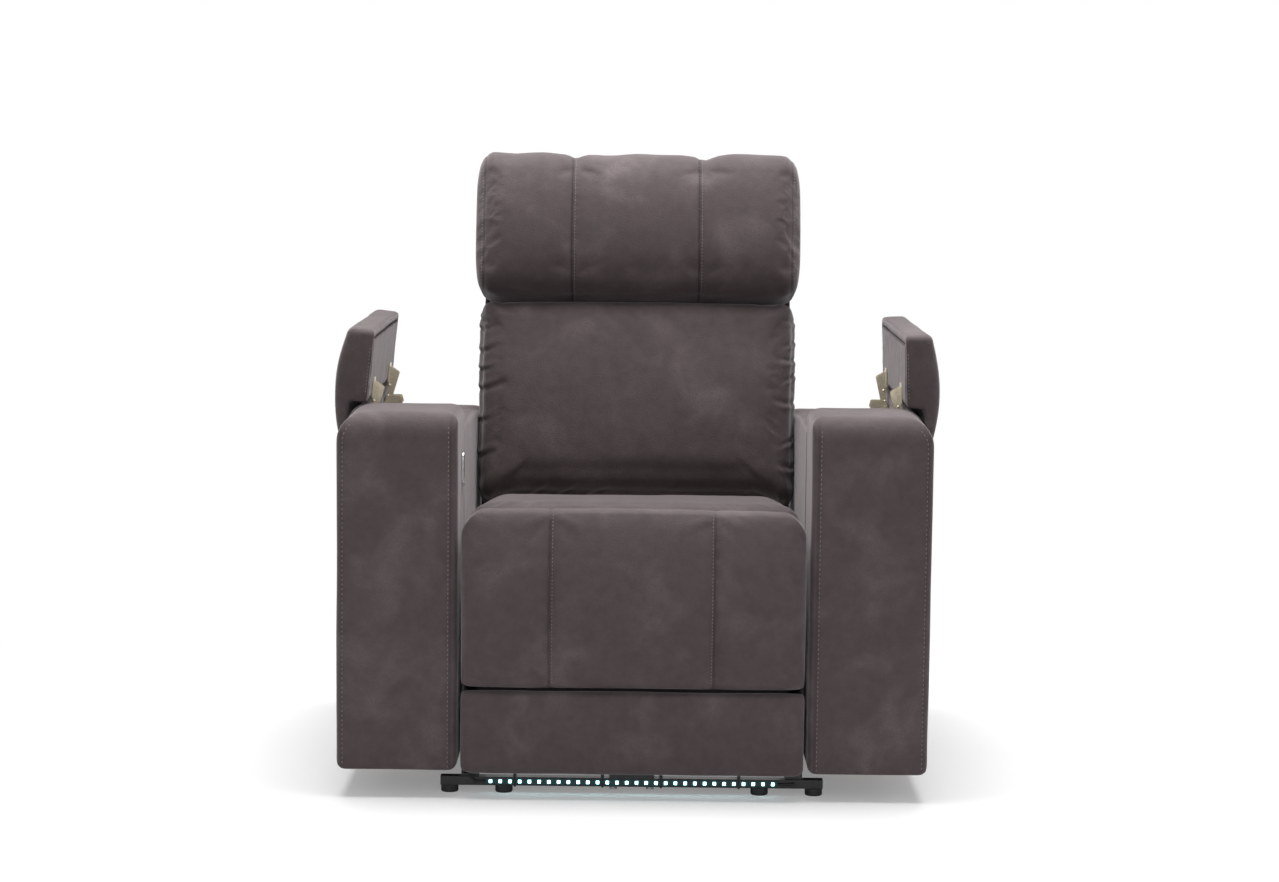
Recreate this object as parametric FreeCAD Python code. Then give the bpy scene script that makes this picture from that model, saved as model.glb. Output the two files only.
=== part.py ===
import FreeCAD, Part
import math
import os

V = FreeCAD.Vector

# Cinema recliner seat. Millimetres, Z up, the sitter looks towards -Y, X is across the seat.
# "left" and "right" are the sitter's: left is +X, right is -X. Both arm lids stand open.

# Overall places
arm_front_y = -420.0
seat_gap = 592.0
arm_width = 206.0
arm_depth = 872.0
arm_bottom_z = 47.0

# Arm front block, rear block and padded walls
front_block_depth = 182.0
front_block_top_z = 657.0
rear_block_depth = 147.0
rear_block_top_z = 590.0
outer_corner_r = 50.0
inner_corner_r = 20.0
low_corner_r = 15.0
block_wall = 16.0
cavity_headroom = 2.0
inner_wall = 24.0
outer_wall = 30.0
rim_z = 621.0
rim_drop = 21.0
rim_level_length = 248.0
rim_edge_r = 9.0
soft_edge = 5.0
board = 18.0

# Storage bin in each arm
bin_wall = 4.0
bin_floor_z = 398.0
bin_rim_z = 580.0
bin_clearance = 1.0
bearer_width = 20.0

# Arm lid and its hinges
shoulder_r = 35.5
lid_pivot_z = 617.0
lid_gap = 0.6
lid_length = 527.0
lid_end_gap = 8.0
lid_side_gap = 5.0
lid_crown = 14.0
lid_free_rise = 8.0
lid_lip = 11.0
lid_rebate_width = 72.0
lid_soft_edge = 9.0
lid_under_r = 6.0
lid_nose_r = 3.0
lid_free_r = 13.0
lid_board_thickness = 12.0
left_open_angle = 88.0
right_open_angle = 84.0
hinge_from_front = 95.0
hinge_spacing = 320.0
hinge_width = 30.0
hinge_plate = 2.0
hinge_leaf_length = 35.0
hinge_leaf_inset = 3.0
hinge_ear_slant = 6.0
hinge_ear_drop = 16.0
hinge_ear_rise = 14.0
hinge_ear_reach = 26.0
hinge_ear_r = 4.0
hinge_foot_drop = 33.0
hinge_foot_height = 23.0
hinge_foot_thickness = 2.5
hinge_pin_r = 3.0
hinge_boss_r = 5.0
hinge_pin_head = 2.0
play = 0.05

# Base
bar_set_back = 56.0
bar_depth = 20.0
bar_height = 15.0
bar_overhang = 31.5
rear_bar_y = 330.0
glide_r = 15.0
glide_height = 12.0
glide_bevel = 2.0
glide_end_gap = 0.5
glide_spacing = 93.0
base_plate = 4.0
base_plate_side_gap = 4.0
base_plate_top_z = 195.0
base_foot_width = 26.0
channel_wall = 3.0
channel_depth = 27.0
channel_bottom_z = 150.0
channel_height = 36.0
channel_front_y = -340.0
channel_length = 470.0
arm_bolt_z = 90.0
arm_bolt_r = 4.0
arm_bolt_depth = 12.0
arm_bolt_inset = 120.0
arm_bolt_offset = 33.5
arm_bolt_end = 45.0
arm_bolt_head = 5.0
centre_bracket_width = 78.0
centre_bracket_height = 10.0
centre_bracket_slant = 6.0
centre_bolt_spacing = 63.0
centre_bolt_cover = 2.0

# Light strip on the front bar
led_count = 30
led_pitch = 50.0 / 3.0
led_size = 5.0
led_height = 1.6
tape_width = 10.0
tape_thickness = 1.2
tie_width = 3.6
tie_thickness = 1.2
tie_gap = 0.2
tie_lock = 4.5
tie_steps = (-12, -3, 3, 11)
lead_r = 2.0
lead_gap = 0.5
lead_bend_r = 9.0
tail_bend_r = 30.0
inlet_width = 34.0
inlet_height = 24.0
inlet_overhang = 8.0
inlet_socket_r = 7.0
inlet_socket_depth = 10.0

# Seat deck and cushion
seat_plate = 5.0
seat_plate_inset = 15.0
deck_bottom_z = 366.0
deck_thickness = 18.0
deck_side_gap = 26.0
deck_nose_inset = 40.0
deck_opening_inset = 75.0
deck_front_y = -362.0
deck_shoulder_y = -285.0
deck_rear_y = 95.0
deck_rail = 40.0
spring_wire_r = 1.9
spring_bend_r = 9.0
spring_half_run = 20.0
spring_count = 5
spring_pitch = 74.0
spring_seat = 8.0
cushion_side_gap = 4.0
cushion_front_y = -365.0
cushion_rear_y = 78.0
cushion_crest_z = 501.0
cushion_pitch = 5.4
cushion_front_r = 34.0
cushion_low_r = 30.0
cushion_rear_r = 20.0
cushion_rear_low_r = 10.0
cushion_crest = 3.0
cushion_crown = 7.0
cushion_gap = 4.0
cross_tube = 25.0
front_tube_y = -200.0
rear_tube_y = 40.0
tube_wall = 2.0
block_length = 60.0
front_slider_y = -260.0
rear_slider_y = 30.0
slider_gap = 0.3

# Footrest: drive tube, links, board and pads
drive_y = -309.6
drive_z = 352.6
drive_tube_r = 11.0
rear_link = 120.0
rear_link_angle = 20.0
front_link = 190.0
front_link_angle = 8.0
link_thickness = 5.0
link_half_width = 10.0
link_side_gap = 2.0
link_gap = 2.0
link_pin_r = 4.0
pin_slack = 0.5
pin_head = 1.5
bracket_height = 60.0
bracket_foot_margin = 0.5
footrest_board_thickness = 12.0
footrest_board_front_y = -402.0
footrest_board_rise = 15.0
footrest_board_inset = 28.0
footrest_side_gap = 4.5
footrest_pad_bottom_z = 190.0
footrest_pad_top_z = 490.0
footrest_roll_depth = 33.0
footrest_pad_thickness = 22.0
footrest_pad_crown = 26.0
footrest_seam_x = 140.0
channel_groove = 6.0
groove_half = 7.0
lower_panel_bottom_z = 44.0
lower_panel_gap = 3.0
lower_panel_thickness = 26.0
footrest_crank = 90.0
footrest_travel = 24.0
motor_x = 80.0
motor_tube_r = 16.0
motor_r = 22.0
motor_gap = 2.0
motor_length = 80.0
motor_neck = 16.0
case_length = 45.0
eye_r = 9.0
rod_r = 6.5
crank_plate = 5.0
rod_eye = 12.0
eye_gap = 1.0
eye_pin_end = 2.0
slot_gap = 0.5
foot_rod_shown = 55.0
back_rod_shown = 95.0
rod_overlap = 85.0

# Back
back_lean = 15.0
back_plane_y = 78.6
back_plane_z = 440.0
back_hinge_y = 150.0
back_hinge_z = 380.0
back_hinge_pin_r = 6.0
back_travel = 36.0
back_crank = 90.0
back_cushion_side_gap = 2.0
back_cushion_thickness = 110.0
back_cushion_bottom = 28.0
back_cushion_top = 372.0
back_cushion_crown = 12.0
back_cushion_low_r = 34.0
back_cushion_top_r = 36.0
back_cushion_rear_r = 8.0
back_frame_side_gap = 16.0
back_frame_depth = 93.0
back_frame_gap = 0.3
back_post = 20.0
frame_drop = 7.0
low_rail = 30.0
mid_rail = 25.0
upper_set_back = 24.0
upper_panel = 4.0
hinge_side_gap = 1.0
hinge_plate_rise = 90.0
hinge_plate_depth = 38.0
hinge_plate_reach = 42.0
hinge_plate_lift = 34.0
back_frame_bottom = -10.0
back_frame_top = 590.0
back_cover_side_gap = 5.0
back_cover_wall = 11.0
back_cover_depth = 110.0
cover_set_back = 4.0
cover_bulge = 16.0
cover_overhang = 10.0
cover_low_r = 12.0
cover_top_r = 30.0
cover_gap = 1.0

# Headrest
headrest_overlap = 4.0
headrest_front = 50.0
headrest_bottom = 386.0
headrest_top = 673.0
headrest_seam_x = 121.5
headrest_seam_shift = 5.5
headrest_bottom_r = 42.0
headrest_board = 12.0
headrest_board_margin = 4.0
headrest_overhang = 2.0
headrest_crown = 14.0
headrest_top_crown = 4.0
headrest_top_r = 46.0
headrest_rear_top_r = 34.0
headrest_rear_low_r = 6.0
headrest_pivot_t = 40.0
headrest_pivot_s = 379.0
headrest_arm = 6.0
headrest_arm_inset = 46.0
headrest_arm_gap = 2.0
headrest_arm_rise = 55.0
headrest_pin_r = 3.0
pivot_margin = 7.0

# Control panel on the right arm
switch_from_front = 118.0
switch_z = 550.0
switch_width = 30.0
switch_height = 60.0
switch_rim = 3.0
switch_depth = 12.0
rocker_width = 15.0
rocker_height = 20.0
rocker_spacing = 25.0
rocker_gap = 0.6
rocker_depth = 5.0
rocker_pocket = 9.0

# Places worked out from the sizes
inner_x = seat_gap / 2
outer_x = inner_x + arm_width
block_rear_y = arm_front_y + front_block_depth
arm_rear_y = arm_front_y + arm_depth
rear_block_y = arm_rear_y - rear_block_depth
lid_pivot_x = outer_x - shoulder_r
lid_front_y = block_rear_y + lid_end_gap
lid_rear_y = lid_front_y + lid_length
bar_front_y = arm_front_y + bar_set_back
bar_rear_y = bar_front_y + bar_depth
bar_top_z = glide_height + bar_height
deck_top_z = deck_bottom_z + deck_thickness
cushion_bottom_z = deck_top_z + cushion_gap
bar_half_length = inner_x + bar_overhang
glide_outer_x = bar_half_length - glide_r - glide_end_gap
glide_inner_x = glide_outer_x - glide_spacing
base_plate_inner_x = inner_x - base_plate_side_gap - base_plate
deck_half_width = inner_x - deck_side_gap
deck_nose_half_width = deck_half_width - deck_nose_inset
deck_opening_half_width = deck_half_width - deck_opening_inset
seat_plate_outer_x = deck_half_width - seat_plate_inset
seat_plate_inner_x = seat_plate_outer_x - seat_plate
cushion_half_width = inner_x - cushion_side_gap
link_outer_x = seat_plate_inner_x - link_side_gap
footrest_half_width = inner_x - footrest_side_gap
footrest_board_x = footrest_half_width - footrest_board_inset
back_cushion_half_width = inner_x - back_cushion_side_gap
back_frame_outer_x = inner_x - back_frame_side_gap
back_cover_half_width = inner_x - back_cover_side_gap
headrest_half_width = inner_x + headrest_overlap
headrest_arm_x = headrest_half_width - headrest_arm_inset


def box(x0, x1, y0, y1, z0, z1):
    return Part.makeBox(x1 - x0, y1 - y0, z1 - z0, V(x0, y0, z0))


def round_bar(start, end, radius):
    return Part.makeCylinder(radius, start.distanceToPoint(end), start, end - start)


def mirrored(shape):
    return shape.mirror(V(0, 0, 0), V(1, 0, 0))


def both_sides(shapes):
    return list(shapes) + [mirrored(shape) for shape in shapes]


def outline(corners, place):
    """Closed wire. Each corner is (u, w, radius, bow of the side that follows it, outwards positive).
    The corners run anticlockwise."""
    count = len(corners)
    ends = []
    for i, (u, w, radius, _) in enumerate(corners):
        before = corners[i - 1]
        after = corners[(i + 1) % count]
        a = V(before[0] - u, before[1] - w, 0).normalize()
        b = V(after[0] - u, after[1] - w, 0).normalize()
        corner = V(u, w, 0)
        if not radius:
            ends.append((corner, corner, corner))
            continue
        half = a.getAngle(b) / 2
        reach = radius / math.tan(half)
        bisector = (a + b).normalize()
        middle = corner + bisector * (radius / math.sin(half) - radius)
        ends.append((corner + a * reach, middle, corner + b * reach))
    edges = []
    for i, (first, middle, last) in enumerate(ends):
        if corners[i][2]:
            edges.append(Part.Arc(place(first), place(middle), place(last)).toShape())
        target = ends[(i + 1) % count][0]
        bow = corners[i][3]
        if bow:
            along = (target - last).normalize()
            middle = (last + target) * 0.5 + V(along.y, -along.x, 0) * bow
            edges.append(Part.Arc(place(last), place(middle), place(target)).toShape())
        else:
            edges.append(Part.LineSegment(place(last), place(target)).toShape())
    return Part.Wire(edges)


def loft(wires):
    return Part.makeLoft(wires, True, True)


def on_side(x):
    """The plane across the seat at x, with u to the rear and w up."""
    return lambda p: V(x, p.x, p.y)


def on_front(y):
    """The upright plane at y, with u along X and w up."""
    return lambda p: V(p.x, y, p.y)


def on_back(x):
    """The plane at x in the leaning back: u is the depth from the cushion's front, w the height."""
    lean = math.radians(back_lean)
    return lambda p: V(
        x,
        back_plane_y + p.y * math.sin(lean) + p.x * math.cos(lean),
        back_plane_z + p.y * math.cos(lean) - p.x * math.sin(lean),
    )


def prism(corners, place, direction):
    return Part.Face(outline(corners, place)).extrude(direction)


def side_plate(points, x0, x1, place_at=on_side):
    """Flat plate between x0 and x1 with the given outline, corners as (u, w, radius)."""
    corners = [(u, w, r, 0) for u, w, r in points]
    return prism(corners, place_at(x0), V(x1 - x0, 0, 0))


def back_box(x0, x1, t0, t1, s0, s1):
    return side_plate([(t0, s0, 0), (t1, s0, 0), (t1, s1, 0), (t0, s1, 0)], x0, x1, on_back)


def link_plate(start, end, half_width, x0, x1):
    """Flat bar with round ends about two points (y, z)."""
    a = V(x0, start[0], start[1])
    b = V(x0, end[0], end[1])
    along = V(b.x - a.x, b.y - a.y, b.z - a.z).normalize()
    across = V(0, -along.z, along.y) * half_width
    edges = [
        Part.LineSegment(a + across, b + across).toShape(),
        Part.Arc(b + across, b + along * half_width, b - across).toShape(),
        Part.LineSegment(b - across, a - across).toShape(),
        Part.Arc(a - across, a - along * half_width, a + across).toShape(),
    ]
    return Part.Face(Part.Wire(edges)).extrude(V(x1 - x0, 0, 0))


def cross_pin(y, z, radius, x0, x1):
    return Part.makeCylinder(radius, x1 - x0, V(x0, y, z), V(1, 0, 0))


def lid_pin(x, z, radius, y0, y1):
    return Part.makeCylinder(radius, y1 - y0, V(x, y0, z), V(0, 1, 0))


# Arm pieces, made for the +X side

def arm_block_section(y, inset, top_z):
    corners = [
        (inner_x + inset, arm_bottom_z + inset, low_corner_r, 0),
        (outer_x - inset, arm_bottom_z + inset, low_corner_r, 0),
        (outer_x - inset, top_z - inset, outer_corner_r, 0),
        (inner_x + inset, top_z - inset, inner_corner_r, 0),
    ]
    return outline(corners, on_front(y))


def arm_block_cavity(y0, y1, top_z):
    low = arm_bottom_z + block_wall
    top = top_z - block_wall - cavity_headroom
    return box(inner_x + block_wall, outer_x - block_wall, y0, y1, low, top)


def padded_edge(depth):
    """Depth from the face and inset of each section of a block with a softly rounded face."""
    return [(0, soft_edge), (soft_edge * 0.4, soft_edge * 0.3), (soft_edge * 1.6, 0), (depth, 0)]


def arm_front_block():
    steps = padded_edge(front_block_depth)
    shell = loft([arm_block_section(arm_front_y + y, inset, front_block_top_z) for y, inset in steps])
    return shell.cut(arm_block_cavity(arm_front_y + block_wall, block_rear_y, front_block_top_z))


def arm_rear_block():
    steps = padded_edge(rear_block_depth)
    wires = [arm_block_section(arm_rear_y - y, inset, rear_block_top_z) for y, inset in steps]
    return loft(wires).cut(arm_block_cavity(rear_block_y, arm_rear_y - block_wall, rear_block_top_z))


def arm_inner_panel():
    level_end = block_rear_y + rim_level_length
    points = [
        (block_rear_y, arm_bottom_z, 0),
        (rear_block_y, arm_bottom_z, 0),
        (rear_block_y, rim_z - rim_drop, 0),
        (level_end, rim_z, 0),
        (block_rear_y, rim_z, 0),
    ]
    panel = side_plate(points, inner_x, inner_x + inner_wall)
    rim = [
        edge for edge in panel.Edges
        if all(v.Point.x < inner_x + 0.1 and v.Point.z > rim_z - rim_drop - 1 for v in edge.Vertexes)
    ]
    return panel.makeFillet(rim_edge_r, rim)


def arm_outer_panel():
    """Outer wall with a quarter-round shoulder about the lid's pivot, which the lid rolls over."""
    wall_x = outer_x - outer_wall
    reach = wall_x - lid_pivot_x
    top_z = lid_pivot_z + math.sqrt(shoulder_r ** 2 - reach ** 2)
    slant = shoulder_r * math.sqrt(0.5)
    corner = low_corner_r
    bevel = corner * (1 - math.sqrt(0.5))

    def at(x, z):
        return V(x, block_rear_y, z)

    inner_low = at(wall_x, arm_bottom_z)
    corner_in = at(outer_x - corner, arm_bottom_z)
    corner_out = at(outer_x, arm_bottom_z + corner)
    shoulder_low = at(outer_x, lid_pivot_z)
    inner_top = at(wall_x, top_z)
    edges = [
        Part.LineSegment(inner_top, inner_low).toShape(),
        Part.LineSegment(inner_low, corner_in).toShape(),
        Part.Arc(corner_in, at(outer_x - bevel, arm_bottom_z + bevel), corner_out).toShape(),
        Part.LineSegment(corner_out, shoulder_low).toShape(),
        Part.Arc(shoulder_low, at(lid_pivot_x + slant, lid_pivot_z + slant), inner_top).toShape(),
    ]
    return Part.Face(Part.Wire(edges)).extrude(V(0, rear_block_y - block_rear_y, 0))


def arm_frame():
    """Plywood inside the arm: front board, both ends of the bin, bottom boards and bin bearers."""
    low = arm_bottom_z + block_wall
    x0 = inner_x + block_wall
    x1 = outer_x - block_wall
    wall_in = inner_x + inner_wall
    wall_out = outer_x - outer_wall
    front_y = arm_front_y + block_wall
    divider_y = block_rear_y - board
    front_top = front_block_top_z - block_wall - cavity_headroom
    rear_top = rear_block_top_z - block_wall - cavity_headroom
    bearer_z = bin_floor_z - board
    boards = [
        box(x0, x1, front_y, front_y + board, low, front_top),
        box(x0, x1, divider_y, block_rear_y, low, front_top),
        box(x0, x1, rear_block_y, rear_block_y + board, low, rear_top),
        box(x0, x1, front_y + board, divider_y, low, low + board),
        box(wall_in, wall_out, block_rear_y, rear_block_y, low, low + board),
        box(wall_in, wall_in + bearer_width, block_rear_y, rear_block_y, bearer_z, bin_floor_z),
        box(wall_out - bearer_width, wall_out, block_rear_y, rear_block_y, bearer_z, bin_floor_z),
    ]
    return Part.makeCompound(boards)


def storage_bin():
    x0 = inner_x + inner_wall + bin_clearance
    x1 = outer_x - outer_wall - bin_clearance
    y0 = block_rear_y + bin_clearance
    y1 = rear_block_y - bin_clearance
    shell = box(x0, x1, y0, y1, bin_floor_z, bin_rim_z)
    return shell.cut(
        box(x0 + bin_wall, x1 - bin_wall, y0 + bin_wall, y1 - bin_wall, bin_floor_z + bin_wall, bin_rim_z)
    )


# Lid, drawn closed on the +X side and then swung open about its pivot

def lid_section(y, inset):
    under_z = rim_z
    rebate_z = lid_pivot_z + shoulder_r + lid_gap
    rebate_x = outer_x - lid_rebate_width
    top_z = rebate_z + lid_lip
    free_x = inner_x + lid_side_gap + inset
    nose_x = outer_x - inset * 0.4
    corners = [
        (free_x, under_z, lid_under_r, 0),
        (rebate_x, under_z, 0, 0),
        (rebate_x, rebate_z, 0, 0),
        (nose_x, rebate_z, lid_nose_r, 0),
        (nose_x, top_z - inset * 0.3, lid_nose_r, lid_crown - inset * 0.7),
        (free_x, top_z + lid_free_rise - inset * 0.6, lid_free_r, 0),
    ]
    return outline(corners, on_front(y))


def lid_board_box():
    x0 = inner_x + lid_side_gap + 2 * lid_soft_edge
    x1 = outer_x - lid_rebate_width - 0.5 * lid_soft_edge
    y0 = lid_front_y + 2 * lid_soft_edge
    y1 = lid_rear_y - 2 * lid_soft_edge
    return box(x0, x1, y0, y1, rim_z, rim_z + lid_board_thickness)


def lid_pad():
    near = [(0, lid_soft_edge), (lid_soft_edge * 0.5, lid_soft_edge * 0.3), (lid_soft_edge * 1.8, 0)]
    steps = near + [(lid_length - y, inset) for y, inset in reversed(near)]
    return loft([lid_section(lid_front_y + y, inset) for y, inset in steps]).cut(lid_board_box())


def hinge_places():
    first = lid_front_y + hinge_from_front
    return [first, first + hinge_spacing]


def hinge_ear(corners, y):
    """Upright ear of sheet at y with the outline given in X and Z."""
    return prism(corners, on_front(y - hinge_plate / 2), V(0, hinge_plate, 0))


def lid_hinge_leaves():
    """Moving half of each hinge: a leaf under the lid board and two ears to the pivot."""
    leaf_x1 = outer_x - lid_rebate_width - hinge_leaf_inset
    leaf_x0 = leaf_x1 - hinge_leaf_length
    leaf_z = rim_z - hinge_plate
    ear_y = hinge_width / 2 - 3 * hinge_plate
    corners = [
        (leaf_x0 + hinge_ear_slant, leaf_z, 0, 0),
        (leaf_x0 + 2.6 * hinge_ear_slant, lid_pivot_z - hinge_ear_drop, hinge_ear_r, 0),
        (lid_pivot_x, lid_pivot_z - hinge_boss_r, 0, 0),
        (lid_pivot_x + hinge_pin_r / 3, lid_pivot_z, 0, 0),
        (leaf_x1, leaf_z, 0, 0),
    ]
    shapes = []
    for y in hinge_places():
        leaf = box(leaf_x0, leaf_x1, y - hinge_width / 2, y + hinge_width / 2, leaf_z, rim_z)
        for centre in (y - ear_y, y + ear_y):
            low, high = centre - hinge_plate / 2, centre + hinge_plate / 2
            boss = lid_pin(lid_pivot_x, lid_pivot_z, hinge_boss_r, low, high)
            leaf = leaf.fuse(hinge_ear(corners, centre)).fuse(boss)
        bore = lid_pin(lid_pivot_x, lid_pivot_z, hinge_pin_r + play, y - hinge_width, y + hinge_width)
        shapes.append(leaf.cut(bore).removeSplitter())
    return Part.makeCompound(shapes)


def lid_hinge_brackets():
    """Fixed half of each hinge: a plate on the wall's inner face below the pivot and two ears."""
    wall_x = outer_x - outer_wall
    plate_x = wall_x - hinge_foot_thickness
    foot_z = lid_pivot_z - hinge_foot_drop
    ear_y = hinge_width / 2 - hinge_plate / 2
    top_z = lid_pivot_z + hinge_ear_rise
    corners = [
        (plate_x - 8, foot_z + 2, 3, 0),
        (plate_x + 1, foot_z + 1, 0, 0),
        (wall_x - 0.5, lid_pivot_z, 0, 0),
        (lid_pivot_x + 1, top_z, hinge_ear_r, 0),
        (lid_pivot_x - hinge_ear_reach, top_z, hinge_ear_r, 0),
        (lid_pivot_x - hinge_ear_reach - 3, lid_pivot_z + 2, hinge_ear_r, 0),
    ]
    shapes = []
    for y in hinge_places():
        low, high = y - hinge_width / 2, y + hinge_width / 2
        plate = box(plate_x, wall_x, low, high, foot_z, foot_z + hinge_foot_height)
        for centre in (y - ear_y, y + ear_y):
            plate = plate.fuse(hinge_ear(corners, centre))
        bore = lid_pin(lid_pivot_x, lid_pivot_z, hinge_pin_r, y - hinge_width, y + hinge_width)
        shapes.append(plate.cut(bore).removeSplitter())
    return Part.makeCompound(shapes)


def lid_hinge_pins():
    half = hinge_width / 2 + hinge_pin_head
    pins = []
    for y in hinge_places():
        pin = lid_pin(lid_pivot_x, lid_pivot_z, hinge_pin_r, y - half, y + half)
        for head in (y - half - hinge_pin_head, y + half):
            pin = pin.fuse(lid_pin(lid_pivot_x, lid_pivot_z, hinge_boss_r, head, head + hinge_pin_head))
        pins.append(pin.removeSplitter())
    return Part.makeCompound(pins)


def swung_open(shape, angle):
    turned = shape.copy()
    turned.rotate(V(lid_pivot_x, 0, lid_pivot_z), V(0, 1, 0), angle)
    return turned


# Base pieces

def cross_bar(y0):
    half = bar_half_length
    return box(-half, half, y0, y0 + bar_depth, glide_height, bar_top_z)


def floor_glides():
    feet = []
    for bar_y in (bar_front_y, rear_bar_y):
        y = bar_y + bar_depth / 2
        for x in (-glide_outer_x, -glide_inner_x, glide_inner_x, glide_outer_x):
            foot = Part.makeCone(glide_r - glide_bevel / 2, glide_r, glide_bevel, V(x, y, 0))
            body = Part.makeCylinder(glide_r, glide_height - glide_bevel, V(x, y, glide_bevel))
            feet.append(foot.fuse(body).removeSplitter())
    return Part.makeCompound(feet)


def arm_bolt_places():
    middle = (block_rear_y + rear_block_y) / 2
    return [arm_front_y + arm_bolt_inset, middle - arm_bolt_offset, rear_block_y - arm_bolt_end]


def base_side_plate():
    x0 = base_plate_inner_x
    y0 = bar_front_y + base_plate
    y1 = rear_bar_y + bar_depth - base_plate
    plate = box(x0, x0 + base_plate, y0, y1, bar_top_z, base_plate_top_z)
    plate = plate.fuse(box(x0 - base_foot_width, x0, y0, y1, bar_top_z, bar_top_z + base_plate))
    for y in arm_bolt_places():
        plate = plate.cut(cross_pin(y, arm_bolt_z, arm_bolt_r, x0 - 1, x0 + base_plate + 1))
    return plate.removeSplitter()


def slide_channel():
    x1 = base_plate_inner_x
    x0 = x1 - channel_depth
    y1 = channel_front_y + channel_length
    top = channel_bottom_z + channel_height
    rail = box(x0, x1, channel_front_y, y1, channel_bottom_z, top)
    return rail.cut(
        box(x0, x1 - channel_wall, channel_front_y, y1, channel_bottom_z + channel_wall, top - channel_wall)
    )


def arm_bolts():
    """Bolts with spacer sleeves that hold the arm to the base plate."""
    bolts = []
    x0 = base_plate_inner_x
    for y in arm_bolt_places():
        bolt = cross_pin(y, arm_bolt_z, arm_bolt_r, x0, inner_x + arm_bolt_depth)
        bolt = bolt.fuse(cross_pin(y, arm_bolt_z, 2 * arm_bolt_r, x0 - arm_bolt_head, x0))
        bolt = bolt.fuse(cross_pin(y, arm_bolt_z, 2 * arm_bolt_r, x0 + base_plate, inner_x))
        bolts.append(bolt.removeSplitter())
    return bolts


def arm_bolt_holes(shape):
    for y in arm_bolt_places():
        shape = shape.cut(cross_pin(y, arm_bolt_z, arm_bolt_r, inner_x - 1, inner_x + arm_bolt_depth))
    return shape


def centre_bracket():
    half = centre_bracket_width / 2
    corners = [
        (-half, bar_top_z, 0, 0),
        (half, bar_top_z, 0, 0),
        (half - centre_bracket_slant, bar_top_z + centre_bracket_height, 2, 0),
        (-half + centre_bracket_slant, bar_top_z + centre_bracket_height, 2, 0),
    ]
    return centre_bolt_holes(prism(corners, on_front(bar_front_y), V(0, bar_depth, 0)))


def centre_bolt_places():
    return [(side * centre_bolt_spacing / 2, bar_front_y + bar_depth / 2) for side in (-1, 1)]


def centre_bolt_length():
    return bar_height + centre_bracket_height - centre_bolt_cover


def centre_bolt_holes(shape):
    for x, y in centre_bolt_places():
        start = V(x, y, glide_height - 1)
        shape = shape.cut(Part.makeCylinder(arm_bolt_r, centre_bolt_length() + 1, start))
    return shape


def centre_bolts():
    bolts = []
    for x, y in centre_bolt_places():
        shank = Part.makeCylinder(arm_bolt_r, centre_bolt_length(), V(x, y, glide_height))
        head_z = glide_height - arm_bolt_head
        head = Part.makeCylinder(1.6 * arm_bolt_r, arm_bolt_head, V(x, y, head_z))
        bolts.append(shank.fuse(head).removeSplitter())
    return bolts


# Light strip

def strip_middle_z():
    return glide_height + bar_height / 2


def led_tape():
    half = led_count * led_pitch / 2
    low = strip_middle_z() - tape_width / 2
    return box(-half, half, bar_front_y - tape_thickness, bar_front_y, low, low + tape_width)


def led_chips():
    y = bar_front_y - tape_thickness - led_height
    z = strip_middle_z() - led_size / 2
    first = -(led_count - 1) * led_pitch / 2 - led_size / 2
    places = [V(first + i * led_pitch, y, z) for i in range(led_count)]
    return Part.makeCompound([Part.makeBox(led_size, led_height, led_size, place) for place in places])


def cable_ties():
    """Ties round the bar and the tape, each between two lights, with its lock on top."""
    ties = []
    front = bar_front_y - tape_thickness - tie_gap
    rear = bar_rear_y + tie_gap
    low = glide_height - tie_gap
    top = bar_top_z + tie_gap
    for steps in tie_steps:
        x0 = steps * led_pitch - tie_width / 2
        x1 = x0 + tie_width
        t = tie_thickness
        ring = box(x0, x1, front - t, rear + t, low - t, top + t).cut(box(x0, x1, front, rear, low, top))
        lock = box(x0 - 1, x1 + 1, front - 2, front + tie_lock, top + t, top + t + tie_lock)
        ties.append(ring.fuse(lock).removeSplitter())
    return Part.makeCompound(ties)


def lead_wire(points, radius_at_bends):
    """Tube along straight runs joined by tangent arcs."""
    edges = []
    last = points[0]
    for i in range(1, len(points) - 1):
        corner = points[i]
        a = (points[i - 1] - corner).normalize()
        b = (points[i + 1] - corner).normalize()
        half = a.getAngle(b) / 2
        reach = radius_at_bends / math.tan(half)
        start = corner + a * reach
        end = corner + b * reach
        middle = corner + (a + b).normalize() * (radius_at_bends / math.sin(half) - radius_at_bends)
        edges.append(Part.LineSegment(last, start).toShape())
        edges.append(Part.Arc(start, middle, end).toShape())
        last = end
    edges.append(Part.LineSegment(last, points[-1]).toShape())
    path = Part.Wire(edges)
    ring = Part.Wire([Part.makeCircle(lead_r, points[0], points[1] - points[0])])
    return path.makePipeShell([ring], True, False)


def led_leads():
    """Supply lead from the strip's right end to the inlet, and the short tail at the other end."""
    half = led_count * led_pitch / 2
    y = bar_front_y - lead_r - lead_gap
    z = strip_middle_z()
    run_x = base_plate_inner_x - lead_r - lead_gap
    run_z = bar_top_z + base_plate + lead_r + lead_gap
    supply = [
        V(-half, y, z),
        V(-half - 18, y, z),
        V(-run_x + 5, y - 2, run_z + 1),
        V(-run_x, bar_front_y + base_foot_width, run_z),
        V(-run_x, rear_bar_y - inlet_overhang, run_z),
    ]
    tail = [V(half, y, z), V(half + 20, y, z), V(run_x - 6, y, z + 2)]
    return Part.makeCompound([lead_wire(supply, lead_bend_r), lead_wire(tail, tail_bend_r)])


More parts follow.
